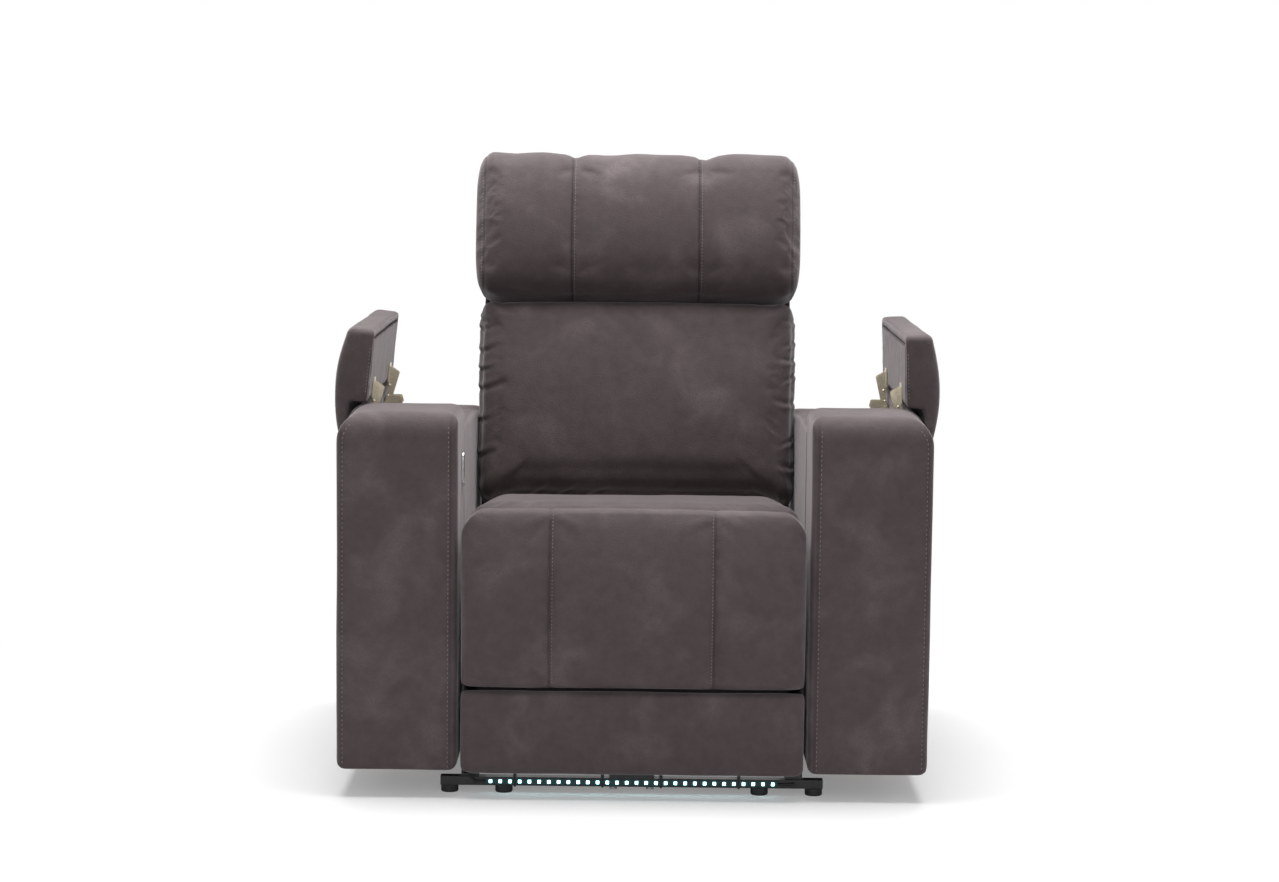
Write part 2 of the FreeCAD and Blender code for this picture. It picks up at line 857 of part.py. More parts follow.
def power_inlet():
    """Box on the rear bar with a round low-voltage socket facing the rear."""
    x0 = -base_plate_inner_x
    x1 = x0 + inlet_width
    z0 = bar_top_z + base_plate
    face_y = rear_bar_y + bar_depth
    body = box(x0, x1, rear_bar_y - inlet_overhang, face_y, z0, z0 + inlet_height)
    centre = V((x0 + x1) / 2, face_y, z0 + inlet_height / 2)
    socket = Part.makeCylinder(inlet_socket_r, inlet_socket_depth, centre, V(0, -1, 0))
    pin = Part.makeCylinder(inlet_socket_r * 0.3, inlet_socket_depth, centre, V(0, -1, 0))
    return body.cut(socket.cut(pin))


# Seat pieces

def seat_deck():
    """Plywood ring that carries the springs and the cushion."""
    wide = box(-deck_half_width, deck_half_width, deck_shoulder_y, deck_rear_y, deck_bottom_z, deck_top_z)
    nose_x = deck_nose_half_width
    nose = box(-nose_x, nose_x, deck_front_y, deck_shoulder_y + 1, deck_bottom_z, deck_top_z)
    hole_x = deck_opening_half_width
    hole_y0 = deck_front_y + deck_rail
    hole = box(-hole_x, hole_x, hole_y0, deck_rear_y - deck_rail, deck_bottom_z, deck_top_z)
    return wide.fuse(nose).removeSplitter().cut(hole)


def seat_springs():
    """Sinuous springs from the deck's front rail to its rear rail."""
    first_y = deck_front_y + deck_rail - spring_seat
    last_y = deck_rear_y - deck_rail + spring_seat
    bends = int((last_y - first_y) / (2 * spring_bend_r))
    z = deck_top_z + spring_wire_r
    springs = []
    for n in range(spring_count):
        x = (n - (spring_count - 1) / 2) * spring_pitch
        edges = []
        y = first_y
        side = 1
        for _ in range(bends):
            start = V(x - side * spring_half_run, y, z)
            end = V(x + side * spring_half_run, y, z)
            edges.append(Part.LineSegment(start, end).toShape())
            next_y = y + 2 * spring_bend_r
            outside = V(end.x + side * spring_bend_r, y + spring_bend_r, z)
            edges.append(Part.Arc(end, outside, V(end.x, next_y, z)).toShape())
            y = next_y
            side = -side
        edges.append(Part.LineSegment(V(x - side * spring_half_run, y, z), V(x, y, z)).toShape())
        start = V(x - spring_half_run, first_y, z)
        ring = Part.Wire([Part.makeCircle(spring_wire_r, start, V(1, 0, 0))])
        springs.append(Part.Wire(edges).makePipeShell([ring], True, False))
    return Part.makeCompound(springs)


def seat_cushion():
    slope = math.tan(math.radians(cushion_pitch))

    def section(x, inset, crown):
        front = cushion_front_y + inset * 0.5
        rear = cushion_rear_y - inset * 0.5
        top = cushion_crest_z - inset
        corners = [
            (front, cushion_bottom_z, cushion_low_r, 0),
            (rear, cushion_bottom_z, cushion_rear_low_r, 0),
            (rear, top - (rear - front) * slope, cushion_rear_r, crown),
            (front, top + cushion_crest, cushion_front_r, 0),
        ]
        return outline(corners, on_side(x))

    edge = cushion_half_width
    steps = [(edge, 26, 0.3), (edge - 7, 13, 0.45), (edge - 22, 3, 0.7), (edge - 60, 0, 1)]
    wires = [section(-x, inset, share * cushion_crown) for x, inset, share in steps]
    wires += [section(x, inset, share * cushion_crown) for x, inset, share in reversed(steps)]
    return loft(wires)


def seat_side_plate():
    hinge_y, hinge_z = back_hinge_y, back_hinge_z
    low = channel_bottom_z + channel_wall + slider_gap
    slider_end = rear_slider_y + block_length
    nose_y = drive_y - 2 * drive_tube_r
    points = [
        (front_slider_y - 8, low, 10),
        (slider_end + 6, low, 10),
        (slider_end + 16, hinge_z - 60, 20),
        (hinge_y + 15, hinge_z - 13, 12),
        (hinge_y + 12, hinge_z + 16, 12),
        (hinge_y - 12, hinge_z + 16, 10),
        (deck_rear_y + 8, deck_bottom_z, 0),
        (deck_shoulder_y, deck_bottom_z, 0),
        (deck_shoulder_y - 3, deck_top_z - 4, 0),
        (nose_y, deck_top_z - 4, 6),
        (nose_y, drive_z - 2 * drive_tube_r, 6),
    ]
    x0, x1 = seat_plate_inner_x, seat_plate_outer_x
    tube_hole = cross_pin(drive_y, drive_z, drive_tube_r + play, x0 - 1, x1 + 1)
    pin_hole = cross_pin(hinge_y, hinge_z, back_hinge_pin_r, x0 - 1, x1 + 1)
    return side_plate(points, x0, x1).cut(tube_hole).cut(pin_hole)


def seat_sliders():
    """Plastic blocks on the side plate that run in the channel."""
    x1 = base_plate_inner_x - channel_wall - slider_gap
    low = channel_bottom_z + channel_wall + slider_gap
    high = channel_bottom_z + channel_height - channel_wall - slider_gap
    return [
        box(seat_plate_outer_x, x1, y, y + block_length, low, high) for y in (front_slider_y, rear_slider_y)
    ]


def cross_tube_at(y):
    x = seat_plate_inner_x
    z0 = deck_bottom_z - cross_tube
    tube = box(-x, x, y, y + cross_tube, z0, deck_bottom_z)
    inner = box(-x, x, y + tube_wall, y + cross_tube - tube_wall, z0 + tube_wall, deck_bottom_z - tube_wall)
    return tube.cut(inner)


def eye_plates(x):
    """Low and high X of the two plates that hold a motor eye at x."""
    near = rod_eye / 2 + eye_gap
    far = near + crank_plate
    return [(x - far, x - near), (x + near, x + far)]


def eye_pin(x, y, z):
    half = rod_eye / 2 + eye_gap + crank_plate + eye_pin_end
    return cross_pin(y, z, link_pin_r, x - half, x + half)


def motor_mount(x, y, z):
    """Two hanging plates under a cross tube with a pin between them for a motor's rear eye."""
    top = deck_bottom_z - cross_tube
    half = cross_tube / 2 - 0.5
    points = [(y - half, z - half, 8), (y + half, z - half, 8), (y + half, top, 0), (y - half, top, 0)]
    hole = cross_pin(y, z, link_pin_r, x - 2 * cross_tube, x + 2 * cross_tube)
    plates = [side_plate(points, x0, x1).cut(hole) for x0, x1 in eye_plates(x)]
    return plates + [eye_pin(x, y, z)]


# Footrest linkage

def footrest_elbow():
    angle = math.radians(rear_link_angle)
    return (drive_y - rear_link * math.sin(angle), drive_z - rear_link * math.cos(angle))


def footrest_pivot():
    y, z = footrest_elbow()
    angle = math.radians(front_link_angle)
    return (y - front_link * math.sin(angle), z + front_link * math.cos(angle))


def footrest_crank_pin():
    angle = math.radians(footrest_travel / 2)
    return (drive_y + footrest_crank * math.sin(angle), drive_z - footrest_crank * math.cos(angle))


def back_crank_pin():
    angle = math.radians(back_travel / 2)
    return (back_hinge_y + back_crank * math.sin(angle), back_hinge_z - back_crank * math.cos(angle))


def drive_tube():
    """Tube across the seat with a rear link at each end and the crank that the motor pushes."""
    axis = (drive_y, drive_z)
    elbow = footrest_elbow()
    pin = footrest_crank_pin()
    wide = link_half_width + 3
    x0 = link_outer_x - link_thickness
    reach = seat_plate_outer_x
    tube = cross_pin(*axis, drive_tube_r, -reach, reach)
    for link in both_sides([link_plate(axis, elbow, wide, x0, link_outer_x)]):
        tube = tube.fuse(link)
    for low_x, high_x in eye_plates(-motor_x):
        tube = tube.fuse(link_plate(axis, pin, wide, low_x, high_x))
    tube = tube.cut(cross_pin(*axis, drive_tube_r - tube_wall, -reach - 1, reach + 1))
    tube = tube.cut(cross_pin(*elbow, link_pin_r + play, -reach, reach))
    tube = tube.cut(cross_pin(*pin, link_pin_r, -reach, reach))
    return Part.makeCompound([tube.removeSplitter(), eye_pin(-motor_x, *pin)])


def front_link_x():
    x1 = link_outer_x - link_thickness - link_gap
    return x1 - link_thickness, x1


def front_links():
    x0, x1 = front_link_x()
    elbow = footrest_elbow()
    pivot = footrest_pivot()
    link = link_plate(elbow, pivot, link_half_width, x0, x1)
    for y, z in (elbow, pivot):
        link = link.cut(cross_pin(y, z, link_pin_r, x0 - 1, x1 + 1))
    return Part.makeCompound(both_sides([link]))


def headed_pin(y, z, radius, x0, x1, head):
    """Pin from x0 to x1 with a wider head at each end, outside that stretch."""
    pin = cross_pin(y, z, radius, x0, x1)
    for low, high in ((x0 - head, x0), (x1, x1 + head)):
        pin = pin.fuse(cross_pin(y, z, radius * 1.6, low, high))
    return pin.removeSplitter()


def link_pins():
    x0, _ = front_link_x()
    ends = (footrest_elbow(), footrest_pivot())
    pins = [headed_pin(y, z, link_pin_r, x0, link_outer_x + pin_slack, pin_head) for y, z in ends]
    return Part.makeCompound(both_sides(pins))


def footrest_brackets():
    """Steel brackets on the back of the footrest board, one ear beside each front link."""
    pivot_y, pivot_z = footrest_pivot()
    rear = footrest_board_front_y + footrest_board_thickness
    x0 = link_outer_x - link_thickness
    low = pivot_z - bracket_height
    points = [
        (rear, low, 0),
        (rear + 8, low + 2, 4),
        (pivot_y + 10, pivot_z - 6, 6),
        (pivot_y + 10, pivot_z + 10, 8),
        (rear, pivot_z + 10, 0),
    ]
    ear = side_plate(points, x0, link_outer_x)
    ear = ear.cut(cross_pin(pivot_y, pivot_z, link_pin_r + play, x0 - 1, link_outer_x + 1))
    foot = box(link_outer_x, footrest_board_x - bracket_foot_margin, rear, rear + 3, low, pivot_z + 8)
    return Part.makeCompound(both_sides([ear.fuse(foot).removeSplitter()]))


def footrest_board():
    x = footrest_board_x
    y0 = footrest_board_front_y
    y1 = y0 + footrest_board_thickness
    _, pivot_z = footrest_pivot()
    return box(-x, x, y0, y1, lower_panel_bottom_z + board, pivot_z + footrest_board_rise)


def groove_steps(half_width, seams):
    """Places across a pad with the depth of its sewn channels, between the plain ends."""
    places = []
    for seam in seams:
        places += [(seam - 3 * groove_half, 0.0), (seam - groove_half, 0.45), (seam, 1.0)]
        places += [(seam + groove_half, 0.45), (seam + 3 * groove_half, 0.0)]
    middle = sum(seams) / len(seams)
    places.append((middle, -0.35))
    places.append(((seams[0] - half_width) / 2, -0.2))
    places.append(((seams[-1] + half_width) / 2, -0.2))
    return sorted(places)


def footrest_pad():
    back = footrest_board_front_y
    roll_y = back + footrest_roll_depth
    _, pivot_z = footrest_pivot()
    step_z = pivot_z + footrest_board_rise + 1

    def section(x, inset, groove):
        front = back - footrest_pad_thickness + inset * 0.35 + max(groove, 0) * channel_groove
        crown = footrest_pad_crown - inset * 0.6 - groove * channel_groove
        corners = [
            (front, footrest_pad_bottom_z + inset * 0.3, 9, 0),
            (back, footrest_pad_bottom_z + inset * 0.3, 0, 0),
            (back, step_z, 0, 0),
            (roll_y - inset * 0.3, step_z, 0, 0),
            (roll_y - inset * 0.3, footrest_pad_top_z - inset, 10, 0),
            (front, footrest_pad_top_z - inset, 28, crown),
        ]
        return outline(corners, on_side(x))

    edge = footrest_half_width
    ends = [(edge, 20), (edge - 6, 9), (edge - 18, 2)]
    wires = [section(-x, inset, 0) for x, inset in ends]
    seams = (-footrest_seam_x, footrest_seam_x)
    wires += [section(x, 0, groove) for x, groove in groove_steps(edge, seams)]
    wires += [section(x, inset, 0) for x, inset in reversed(ends)]
    return loft(wires)


def footrest_lower_panel():
    back = footrest_board_front_y

    def section(x, inset):
        front = back - lower_panel_thickness + inset * 0.5
        low = lower_panel_bottom_z + inset * 0.4
        top = footrest_pad_bottom_z - lower_panel_gap - inset * 0.2
        corners = [
            (front, low, 10, 0),
            (back, low, 0, 0),
            (back, top, 0, 0),
            (front, top, 10, 4 - inset * 0.1),
        ]
        return outline(corners, on_side(x))

    edge = footrest_half_width
    steps = [(edge, 16), (edge - 5, 7), (edge - 15, 1), (edge - 50, 0)]
    wires = [section(-x, inset) for x, inset in steps]
    wires += [section(x, inset) for x, inset in reversed(steps)]
    return loft(wires)


# Motors: each has a fixed tube with its gear motor below, and a rod with a slotted eye

def linear_motor(x, z, mount_y, tip_y):
    """Tube from its rear eye at mount_y to tip_y, with the gear case and motor below it."""
    towards = 1 if tip_y > mount_y else -1
    shoulder = mount_y + towards * motor_neck
    case_end = shoulder + towards * case_length
    motor_z = z - motor_tube_r - motor_r - motor_gap
    case_y0, case_y1 = min(shoulder, case_end), max(shoulder, case_end)
    case_x = motor_r + motor_gap
    tube = round_bar(V(x, shoulder, z), V(x, tip_y, z), motor_tube_r)
    eye_y0, eye_y1 = min(mount_y - eye_r, shoulder), max(mount_y + eye_r, shoulder)
    eye = box(x - rod_eye / 2, x + rod_eye / 2, eye_y0, eye_y1, z - eye_r, z + eye_r)
    case = box(x - case_x, x + case_x, case_y0, case_y1, motor_z - motor_r - 1, z + motor_tube_r + 1)
    motor_start = V(x, case_end - towards, motor_z)
    motor = round_bar(motor_start, motor_start + V(0, towards * motor_length, 0), motor_r)
    bore = round_bar(V(x, case_end, z), V(x, tip_y, z), rod_r + play)
    pin_hole = cross_pin(mount_y, z, link_pin_r, x - rod_eye, x + rod_eye)
    return tube.fuse([eye, case, motor]).cut(bore).cut(pin_hole).removeSplitter()


def motor_rod(x, z, pin_y, inner_y, sag):
    """Rod with a slotted eye: the slot lets the crank pin dip by sag in mid travel."""
    towards = 1 if inner_y > pin_y else -1
    rod = round_bar(V(x, inner_y, z), V(x, pin_y + towards * eye_r, z), rod_r)
    half = rod_eye / 2
    eye = box(x - half, x + half, pin_y - eye_r - 1, pin_y + eye_r + 1, z - sag - eye_r, z + eye_r)
    r = link_pin_r + slot_gap
    slot = box(x - half, x + half, pin_y - r, pin_y + r, z - sag, z)
    for slot_z in (z, z - sag):
        slot = slot.fuse(cross_pin(pin_y, slot_z, r, x - half, x + half))
    return rod.fuse(eye).cut(slot).removeSplitter()


# Back pieces

def frame_front_t():
    return back_cushion_thickness + back_frame_gap


def back_frame():
    """Two posts on each side, low, middle and top rails, and a thin panel behind the headrest."""
    x1 = back_frame_outer_x
    x0 = x1 - back_post
    rail_x = seat_plate_outer_x + hinge_side_gap
    t0 = frame_front_t()
    t1 = t0 + back_frame_depth
    upper_t = t0 + upper_set_back
    low = back_frame_bottom
    mid = back_cushion_top - frame_drop
    top = back_frame_top
    low_post = back_box(x0, x1, t0, t1, low, mid)
    upper_post = back_box(x0, x1, upper_t, t1, mid, top)
    rails = [
        back_box(-rail_x, rail_x, t0, t0 + low_rail, low, low + low_rail),
        back_box(-x0, x0, t0, t1, mid - mid_rail, mid),
        back_box(-x0, x0, upper_t, t1, top - board, top),
        back_box(-x0, x0, upper_t - upper_panel, upper_t, mid, top),
    ]
    return Part.makeCompound(both_sides([low_post, upper_post]) + rails)


def back_hinge_brackets():
    """Steel plates from the low end of the posts forward to the back's hinge pins."""
    x0 = seat_plate_outer_x + hinge_side_gap
    x1 = back_frame_outer_x - back_post
    y, z = back_hinge_y, back_hinge_z
    t0 = frame_front_t()
    low_s = back_frame_bottom + 2
    high_s = back_frame_bottom + hinge_plate_rise
    plane = on_back(0)
    low = plane(V(t0 + hinge_plate_depth, low_s, 0))
    high_rear = plane(V(t0 + hinge_plate_depth, high_s, 0))
    high_front = plane(V(t0 + 2, high_s, 0))
    points = [
        (y - 12, z - 8, 8),
        (y + 4, z - 14, 8),
        (low.y, low.z, 4),
        (high_rear.y, high_rear.z, 4),
        (high_front.y, high_front.z, 4),
        (y + hinge_plate_reach, z + hinge_plate_lift, 8),
        (y - 12, z + 10, 8),
    ]
    hole = cross_pin(y, z, back_hinge_pin_r + play, x0 - 1, x1 + 1)
    return both_sides([side_plate(points, x0, x1).cut(hole)])


def back_hinge_pins():
    x0 = seat_plate_inner_x
    x1 = back_frame_outer_x - back_post + pin_slack
    pin = headed_pin(back_hinge_y, back_hinge_z, back_hinge_pin_r, x0, x1, 2 * pin_head)
    return Part.makeCompound(both_sides([pin]))


def back_crank_plates():
    """Plates under the back frame's low rail, with the pin that the recline rod pulls."""
    pin_y, pin_z = back_crank_pin()
    plane = on_back(0)
    front = plane(V(frame_front_t(), back_frame_bottom, 0))
    rear = plane(V(frame_front_t() + low_rail, back_frame_bottom, 0))
    points = [
        (pin_y - 11, pin_z - 10, 8),
        (pin_y + 11, pin_z - 10, 8),
        (rear.y, rear.z, 0),
        (front.y, front.z, 0),
    ]
    hole = cross_pin(pin_y, pin_z, link_pin_r, motor_x - 2 * cross_tube, motor_x + 2 * cross_tube)
    plates = [side_plate(points, x0, x1).cut(hole) for x0, x1 in eye_plates(motor_x)]
    return plates + [eye_pin(motor_x, pin_y, pin_z)]


def back_cushion():
    def section(x, inset, crown):
        corners = [
            (inset * 0.7, back_cushion_bottom + inset, back_cushion_low_r, 0),
            (back_cushion_thickness, back_cushion_bottom + inset, back_cushion_rear_r, 0),
            (back_cushion_thickness, back_cushion_top - inset, back_cushion_rear_r, 0),
            (inset * 0.7, back_cushion_top - inset, back_cushion_top_r, crown),
        ]
        return outline(corners, on_back(x))

    edge = back_cushion_half_width
    steps = [(edge, 26, 0.15), (edge - 8, 12, 0.35), (edge - 24, 3, 0.6), (edge - 90, 0, 1)]
    wires = [section(-x, inset, share * back_cushion_crown) for x, inset, share in steps]
    wires += [section(x, inset, share * back_cushion_crown) for x, inset, share in reversed(steps)]
    return loft(wires)


def back_outer_cover():
    """Upholstered tub that closes the back's rear and sides, open at the front and below."""
    t0 = back_cushion_thickness + cover_set_back
    t1 = t0 + back_cover_depth - cover_bulge
    low = back_frame_bottom - cover_overhang
    top = back_frame_top + back_cover_wall

    def section(x, inset):
        corners = [
            (t0, low + inset * 0.4, 0, 0),
            (t1 - inset, low + inset * 0.4, cover_low_r, cover_bulge - inset * 0.6),
            (t1 - inset, top - inset, cover_top_r, 0),
            (t0, top - inset, 0, 0),
        ]
        return outline(corners, on_back(x))

    edge = back_cover_half_width
    steps = [(edge, 18), (edge - 5, 7), (edge - 20, 0)]
    wires = [section(-x, inset) for x, inset in steps]
    wires += [section(x, inset) for x, inset in reversed(steps)]
    x = back_frame_outer_x + cover_gap
    inside_t = frame_front_t() + back_frame_depth + cover_gap
    cavity = back_box(-x, x, t0 - 10, inside_t, low - 20, back_frame_top + cover_gap)
    board_x = headrest_board_x() + cover_set_back
    recess_t = t0 + headrest_board + cover_gap
    recess = back_box(-board_x, board_x, t0 - 10, recess_t, headrest_bottom, top + 10)
    return loft(wires).cut(cavity).cut(recess)


# Headrest pieces

def headrest_rear_t():
    return back_cushion_thickness + headrest_overhang


def headrest_board_x():
    return headrest_arm_x + headrest_arm + headrest_board_margin


def headrest_cushion():
    rear = headrest_rear_t()
    seams = (headrest_seam_shift - headrest_seam_x, headrest_seam_shift + headrest_seam_x)

    def section(x, inset, groove):
        sink = groove * channel_groove
        front = headrest_crown - headrest_front + inset * 0.9 + max(sink, 0)
        crown = headrest_crown - inset * 0.4 - sink * 0.5
        top = headrest_top - headrest_top_crown - inset - max(sink, 0)
        low = headrest_bottom + inset * 0.8
        corners = [
            (front, low, headrest_bottom_r, 0),
            (rear, low, headrest_rear_low_r, 0),
            (rear, top, headrest_rear_top_r, headrest_top_crown),
            (front, top, headrest_top_r, crown),
        ]
        return outline(corners, on_back(x))

    edge = headrest_half_width
    ends = [(edge, 24), (edge - 7, 11), (edge - 22, 3)]
    wires = [section(-x, inset, 0) for x, inset in ends]
    wires += [section(x, 0, groove) for x, groove in groove_steps(edge, seams)]
    wires += [section(x, inset, 0) for x, inset in reversed(ends)]
    return loft(wires)


def headrest_back_board():
    t0 = headrest_rear_t()
    x = headrest_board_x()
    low = headrest_bottom + headrest_rear_low_r
    return back_box(-x, x, t0, t0 + headrest_board, low, back_frame_top)


def headrest_pivot():
    centre = on_back(0)(V(headrest_pivot_t, headrest_pivot_s, 0))
    return centre.y, centre.z


def headrest_arms():
    """Flat arm on each side from the pivot to the rear of the backing board."""
    t0 = headrest_pivot_t - pivot_margin
    t1 = headrest_rear_t() + headrest_board
    t2 = t1 + 5
    s0 = headrest_pivot_s - pivot_margin + 1
    s1 = headrest_bottom - 1
    s2 = s1 + headrest_arm_rise
    x0 = headrest_arm_x
    points = [(t0, s0, 5), (t2, s0, 0), (t2, s2, 0), (t1, s2, 0), (t1, s1, 0), (t0, s1, 5)]
    arm = side_plate(points, x0, x0 + headrest_arm, on_back)
    hole = cross_pin(*headrest_pivot(), headrest_pin_r + play, x0 - 1, x0 + headrest_arm + 1)
    return Part.makeCompound(both_sides([arm.cut(hole)]))


def headrest_brackets():
    """Flat arms on the back frame's middle rail that carry the headrest pivots."""
    t0 = headrest_pivot_t - pivot_margin
    t1 = frame_front_t()
    t2 = t1 + 20
    s0 = headrest_pivot_s - pivot_margin + 1
    s1 = headrest_bottom - 1
    mid = back_cushion_top - frame_drop
    x1 = headrest_arm_x - headrest_arm_gap
    x0 = x1 - headrest_arm
    points = [(t0, s0, 5), (t1, s0, 0), (t1, mid, 0), (t2, mid, 0), (t2, s1, 0), (t0, s1, 5)]
    hole = cross_pin(*headrest_pivot(), headrest_pin_r, x0 - 1, x1 + 1)
    return both_sides([side_plate(points, x0, x1, on_back).cut(hole)])


def headrest_pins():
    x0 = headrest_arm_x - headrest_arm_gap - headrest_arm
    x1 = headrest_arm_x + headrest_arm + pin_slack
    pin = headed_pin(*headrest_pivot(), headrest_pin_r, x0, x1, pin_head)
    return Part.makeCompound(both_sides([pin]))


# Control panel in the right arm's front block

def stadium(width, height, x0, x1):
    y = arm_front_y + switch_from_front
    r = width / 2
    rise = height / 2 - r
    shape = box(x0, x1, y - r, y + r, switch_z - rise, switch_z + rise)
    for z in (switch_z - rise, switch_z + rise):
        shape = shape.fuse(cross_pin(y, z, r, x0, x1))
    return shape.removeSplitter()


def switch_core(x0, x1):
    return stadium(switch_width - 2 * switch_rim, switch_height - 2 * switch_rim, x0, x1)


def rocker_places():
    return [switch_z - rocker_spacing / 2, switch_z + rocker_spacing / 2]


def switch_bezel():
    face_x = -inner_x + switch_rim
    return stadium(switch_width, switch_height, -inner_x, face_x).cut(switch_core(-inner_x, face_x))


def switch_body():
    """Plastic core behind the bezel with a pocket for each rocker."""
    face_x = -inner_x + switch_rim - 1
    body = switch_core(-inner_x - switch_depth, face_x)
    y = arm_front_y + switch_from_front
    half_w = rocker_width / 2 + rocker_gap
    half_h = rocker_height / 2 + rocker_gap
    for z in rocker_places():
        pocket = box(face_x - rocker_pocket, face_x, y - half_w, y + half_w, z - half_h, z + half_h)
        body = body.cut(pocket)
    return body


def rocker(z):
    """Rocker with a slightly hollow face, tilting about its middle."""
    face_x = -inner_x + switch_rim
    back_x = face_x - rocker_depth
    half = rocker_height / 2
    y = arm_front_y + switch_from_front
    corners = [
        (back_x, z - half + 2, 0, 0),
        (face_x, z - half + 0.8, 0, -0.8),
        (face_x, z + half - 0.8, 0, 0),
        (back_x, z + half - 2, 0, 0),
    ]
    return prism(corners, on_front(y - rocker_width / 2), V(0, rocker_width, 0))


# All pieces by name

def make_parts():
    parts = {}
    front_block = arm_bolt_holes(arm_front_block())
    inner_panel = arm_bolt_holes(arm_inner_panel())
    sides = (("left", lambda shape: shape, left_open_angle), ("right", mirrored, right_open_angle))
    for side, place, angle in sides:
        parts[side + "_arm_front_block"] = place(front_block)
        parts[side + "_arm_inner_panel"] = place(inner_panel)
        parts[side + "_arm_outer_panel"] = place(arm_outer_panel())
        parts[side + "_arm_rear_block"] = place(arm_rear_block())
        parts[side + "_storage_bin"] = place(storage_bin())
        parts[side + "_lid_pad"] = place(swung_open(lid_pad(), angle))
        parts[side + "_lid_board"] = place(swung_open(lid_board_box(), angle))
        parts[side + "_lid_hinge_leaves"] = place(swung_open(lid_hinge_leaves(), angle))
    pocket = switch_core(-inner_x - switch_depth, -inner_x + 1)
    parts["right_arm_front_block"] = parts["right_arm_front_block"].cut(pocket)

    parts["arm_frames"] = Part.makeCompound(both_sides([arm_frame()]))
    parts["lid_hinge_brackets"] = Part.makeCompound(both_sides([lid_hinge_brackets()]))
    parts["lid_hinge_pins"] = Part.makeCompound(both_sides([lid_hinge_pins()]))
    front_bar = centre_bolt_holes(cross_bar(bar_front_y))
    parts["cross_bars"] = Part.makeCompound([front_bar, cross_bar(rear_bar_y)])
    parts["floor_glides"] = floor_glides()
    parts["base_side_plates"] = Part.makeCompound(both_sides([base_side_plate()]))
    parts["slide_channels"] = Part.makeCompound(both_sides([slide_channel()]))
    parts["base_bolts"] = Part.makeCompound(both_sides(arm_bolts()) + centre_bolts())
    parts["centre_bracket"] = centre_bracket()
    parts["led_tape"] = led_tape()
    parts["led_chips"] = led_chips()
    parts["cable_ties"] = cable_ties()
    parts["led_leads"] = led_leads()
    parts["power_inlet"] = power_inlet()
    parts["switch_bezel"] = switch_bezel()
    parts["switch_body"] = switch_body()
    lower_z, upper_z = rocker_places()
    parts["footrest_rocker"] = rocker(upper_z)
    parts["back_rocker"] = rocker(lower_z)

    parts["seat_deck"] = seat_deck()
    parts["seat_springs"] = seat_springs()
    parts["seat_cushion"] = seat_cushion()
    parts["seat_side_plates"] = Part.makeCompound(both_sides([seat_side_plate()]))
    parts["seat_sliders"] = Part.makeCompound(both_sides(seat_sliders()))
    foot_pin_y, foot_pin_z = footrest_crank_pin()
    back_pin_y, back_pin_z = back_crank_pin()
    foot_mount_y = rear_tube_y + cross_tube / 2
    back_mount_y = front_tube_y + cross_tube / 2
    tubes = [cross_tube_at(front_tube_y), cross_tube_at(rear_tube_y)]
    tubes += motor_mount(-motor_x, foot_mount_y, foot_pin_z)
    tubes += motor_mount(motor_x, back_mount_y, back_pin_z)
    parts["seat_cross_tubes"] = Part.makeCompound(tubes)
    foot_tip_y = foot_pin_y + foot_rod_shown
    back_tip_y = back_pin_y - back_rod_shown
    parts["footrest_motor"] = linear_motor(-motor_x, foot_pin_z, foot_mount_y, foot_tip_y)
    parts["recline_motor"] = linear_motor(motor_x, back_pin_z, back_mount_y, back_tip_y)
    foot_sag = footrest_crank * (1 - math.cos(math.radians(footrest_travel / 2)))
    back_sag = back_crank * (1 - math.cos(math.radians(back_travel / 2)))
    foot_rod_end = foot_tip_y + rod_overlap
    back_rod_end = back_tip_y - rod_overlap
    parts["footrest_motor_rod"] = motor_rod(-motor_x, foot_pin_z, foot_pin_y, foot_rod_end, foot_sag)
    parts["recline_motor_rod"] = motor_rod(motor_x, back_pin_z, back_pin_y, back_rod_end, back_sag)

    parts["footrest_drive_tube"] = drive_tube()
    parts["footrest_links"] = front_links()
    parts["footrest_link_pins"] = link_pins()
    parts["footrest_brackets"] = footrest_brackets()
    parts["footrest_board"] = footrest_board()
    parts["footrest_pad"] = footrest_pad()
    parts["footrest_lower_panel"] = footrest_lower_panel()

    parts["back_frame"] = back_frame()
    steel = back_hinge_brackets() + back_crank_plates() + headrest_brackets()
    parts["back_brackets"] = Part.makeCompound(steel)
    parts["back_hinge_pins"] = back_hinge_pins()
    parts["back_cushion"] = back_cushion()
    parts["back_outer_cover"] = back_outer_cover()
    parts["headrest_pins"] = headrest_pins()
    parts["headrest_arms"] = headrest_arms()
    parts["headrest_board"] = headrest_back_board()
    parts["headrest_cushion"] = headrest_cushion()
    return parts


os.makedirs("parts", exist_ok=True)
for name, shape in make_parts().items():
    if not shape.isValid():
        print("not valid:", name)
    shape.exportStep("parts/" + name + ".step")
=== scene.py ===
import math
from contextlib import contextmanager

import bpy
import numpy as np
from bpy.props import FloatProperty, FloatVectorProperty, IntProperty, PointerProperty
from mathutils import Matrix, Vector, noise
from mathutils.bvhtree import BVHTree


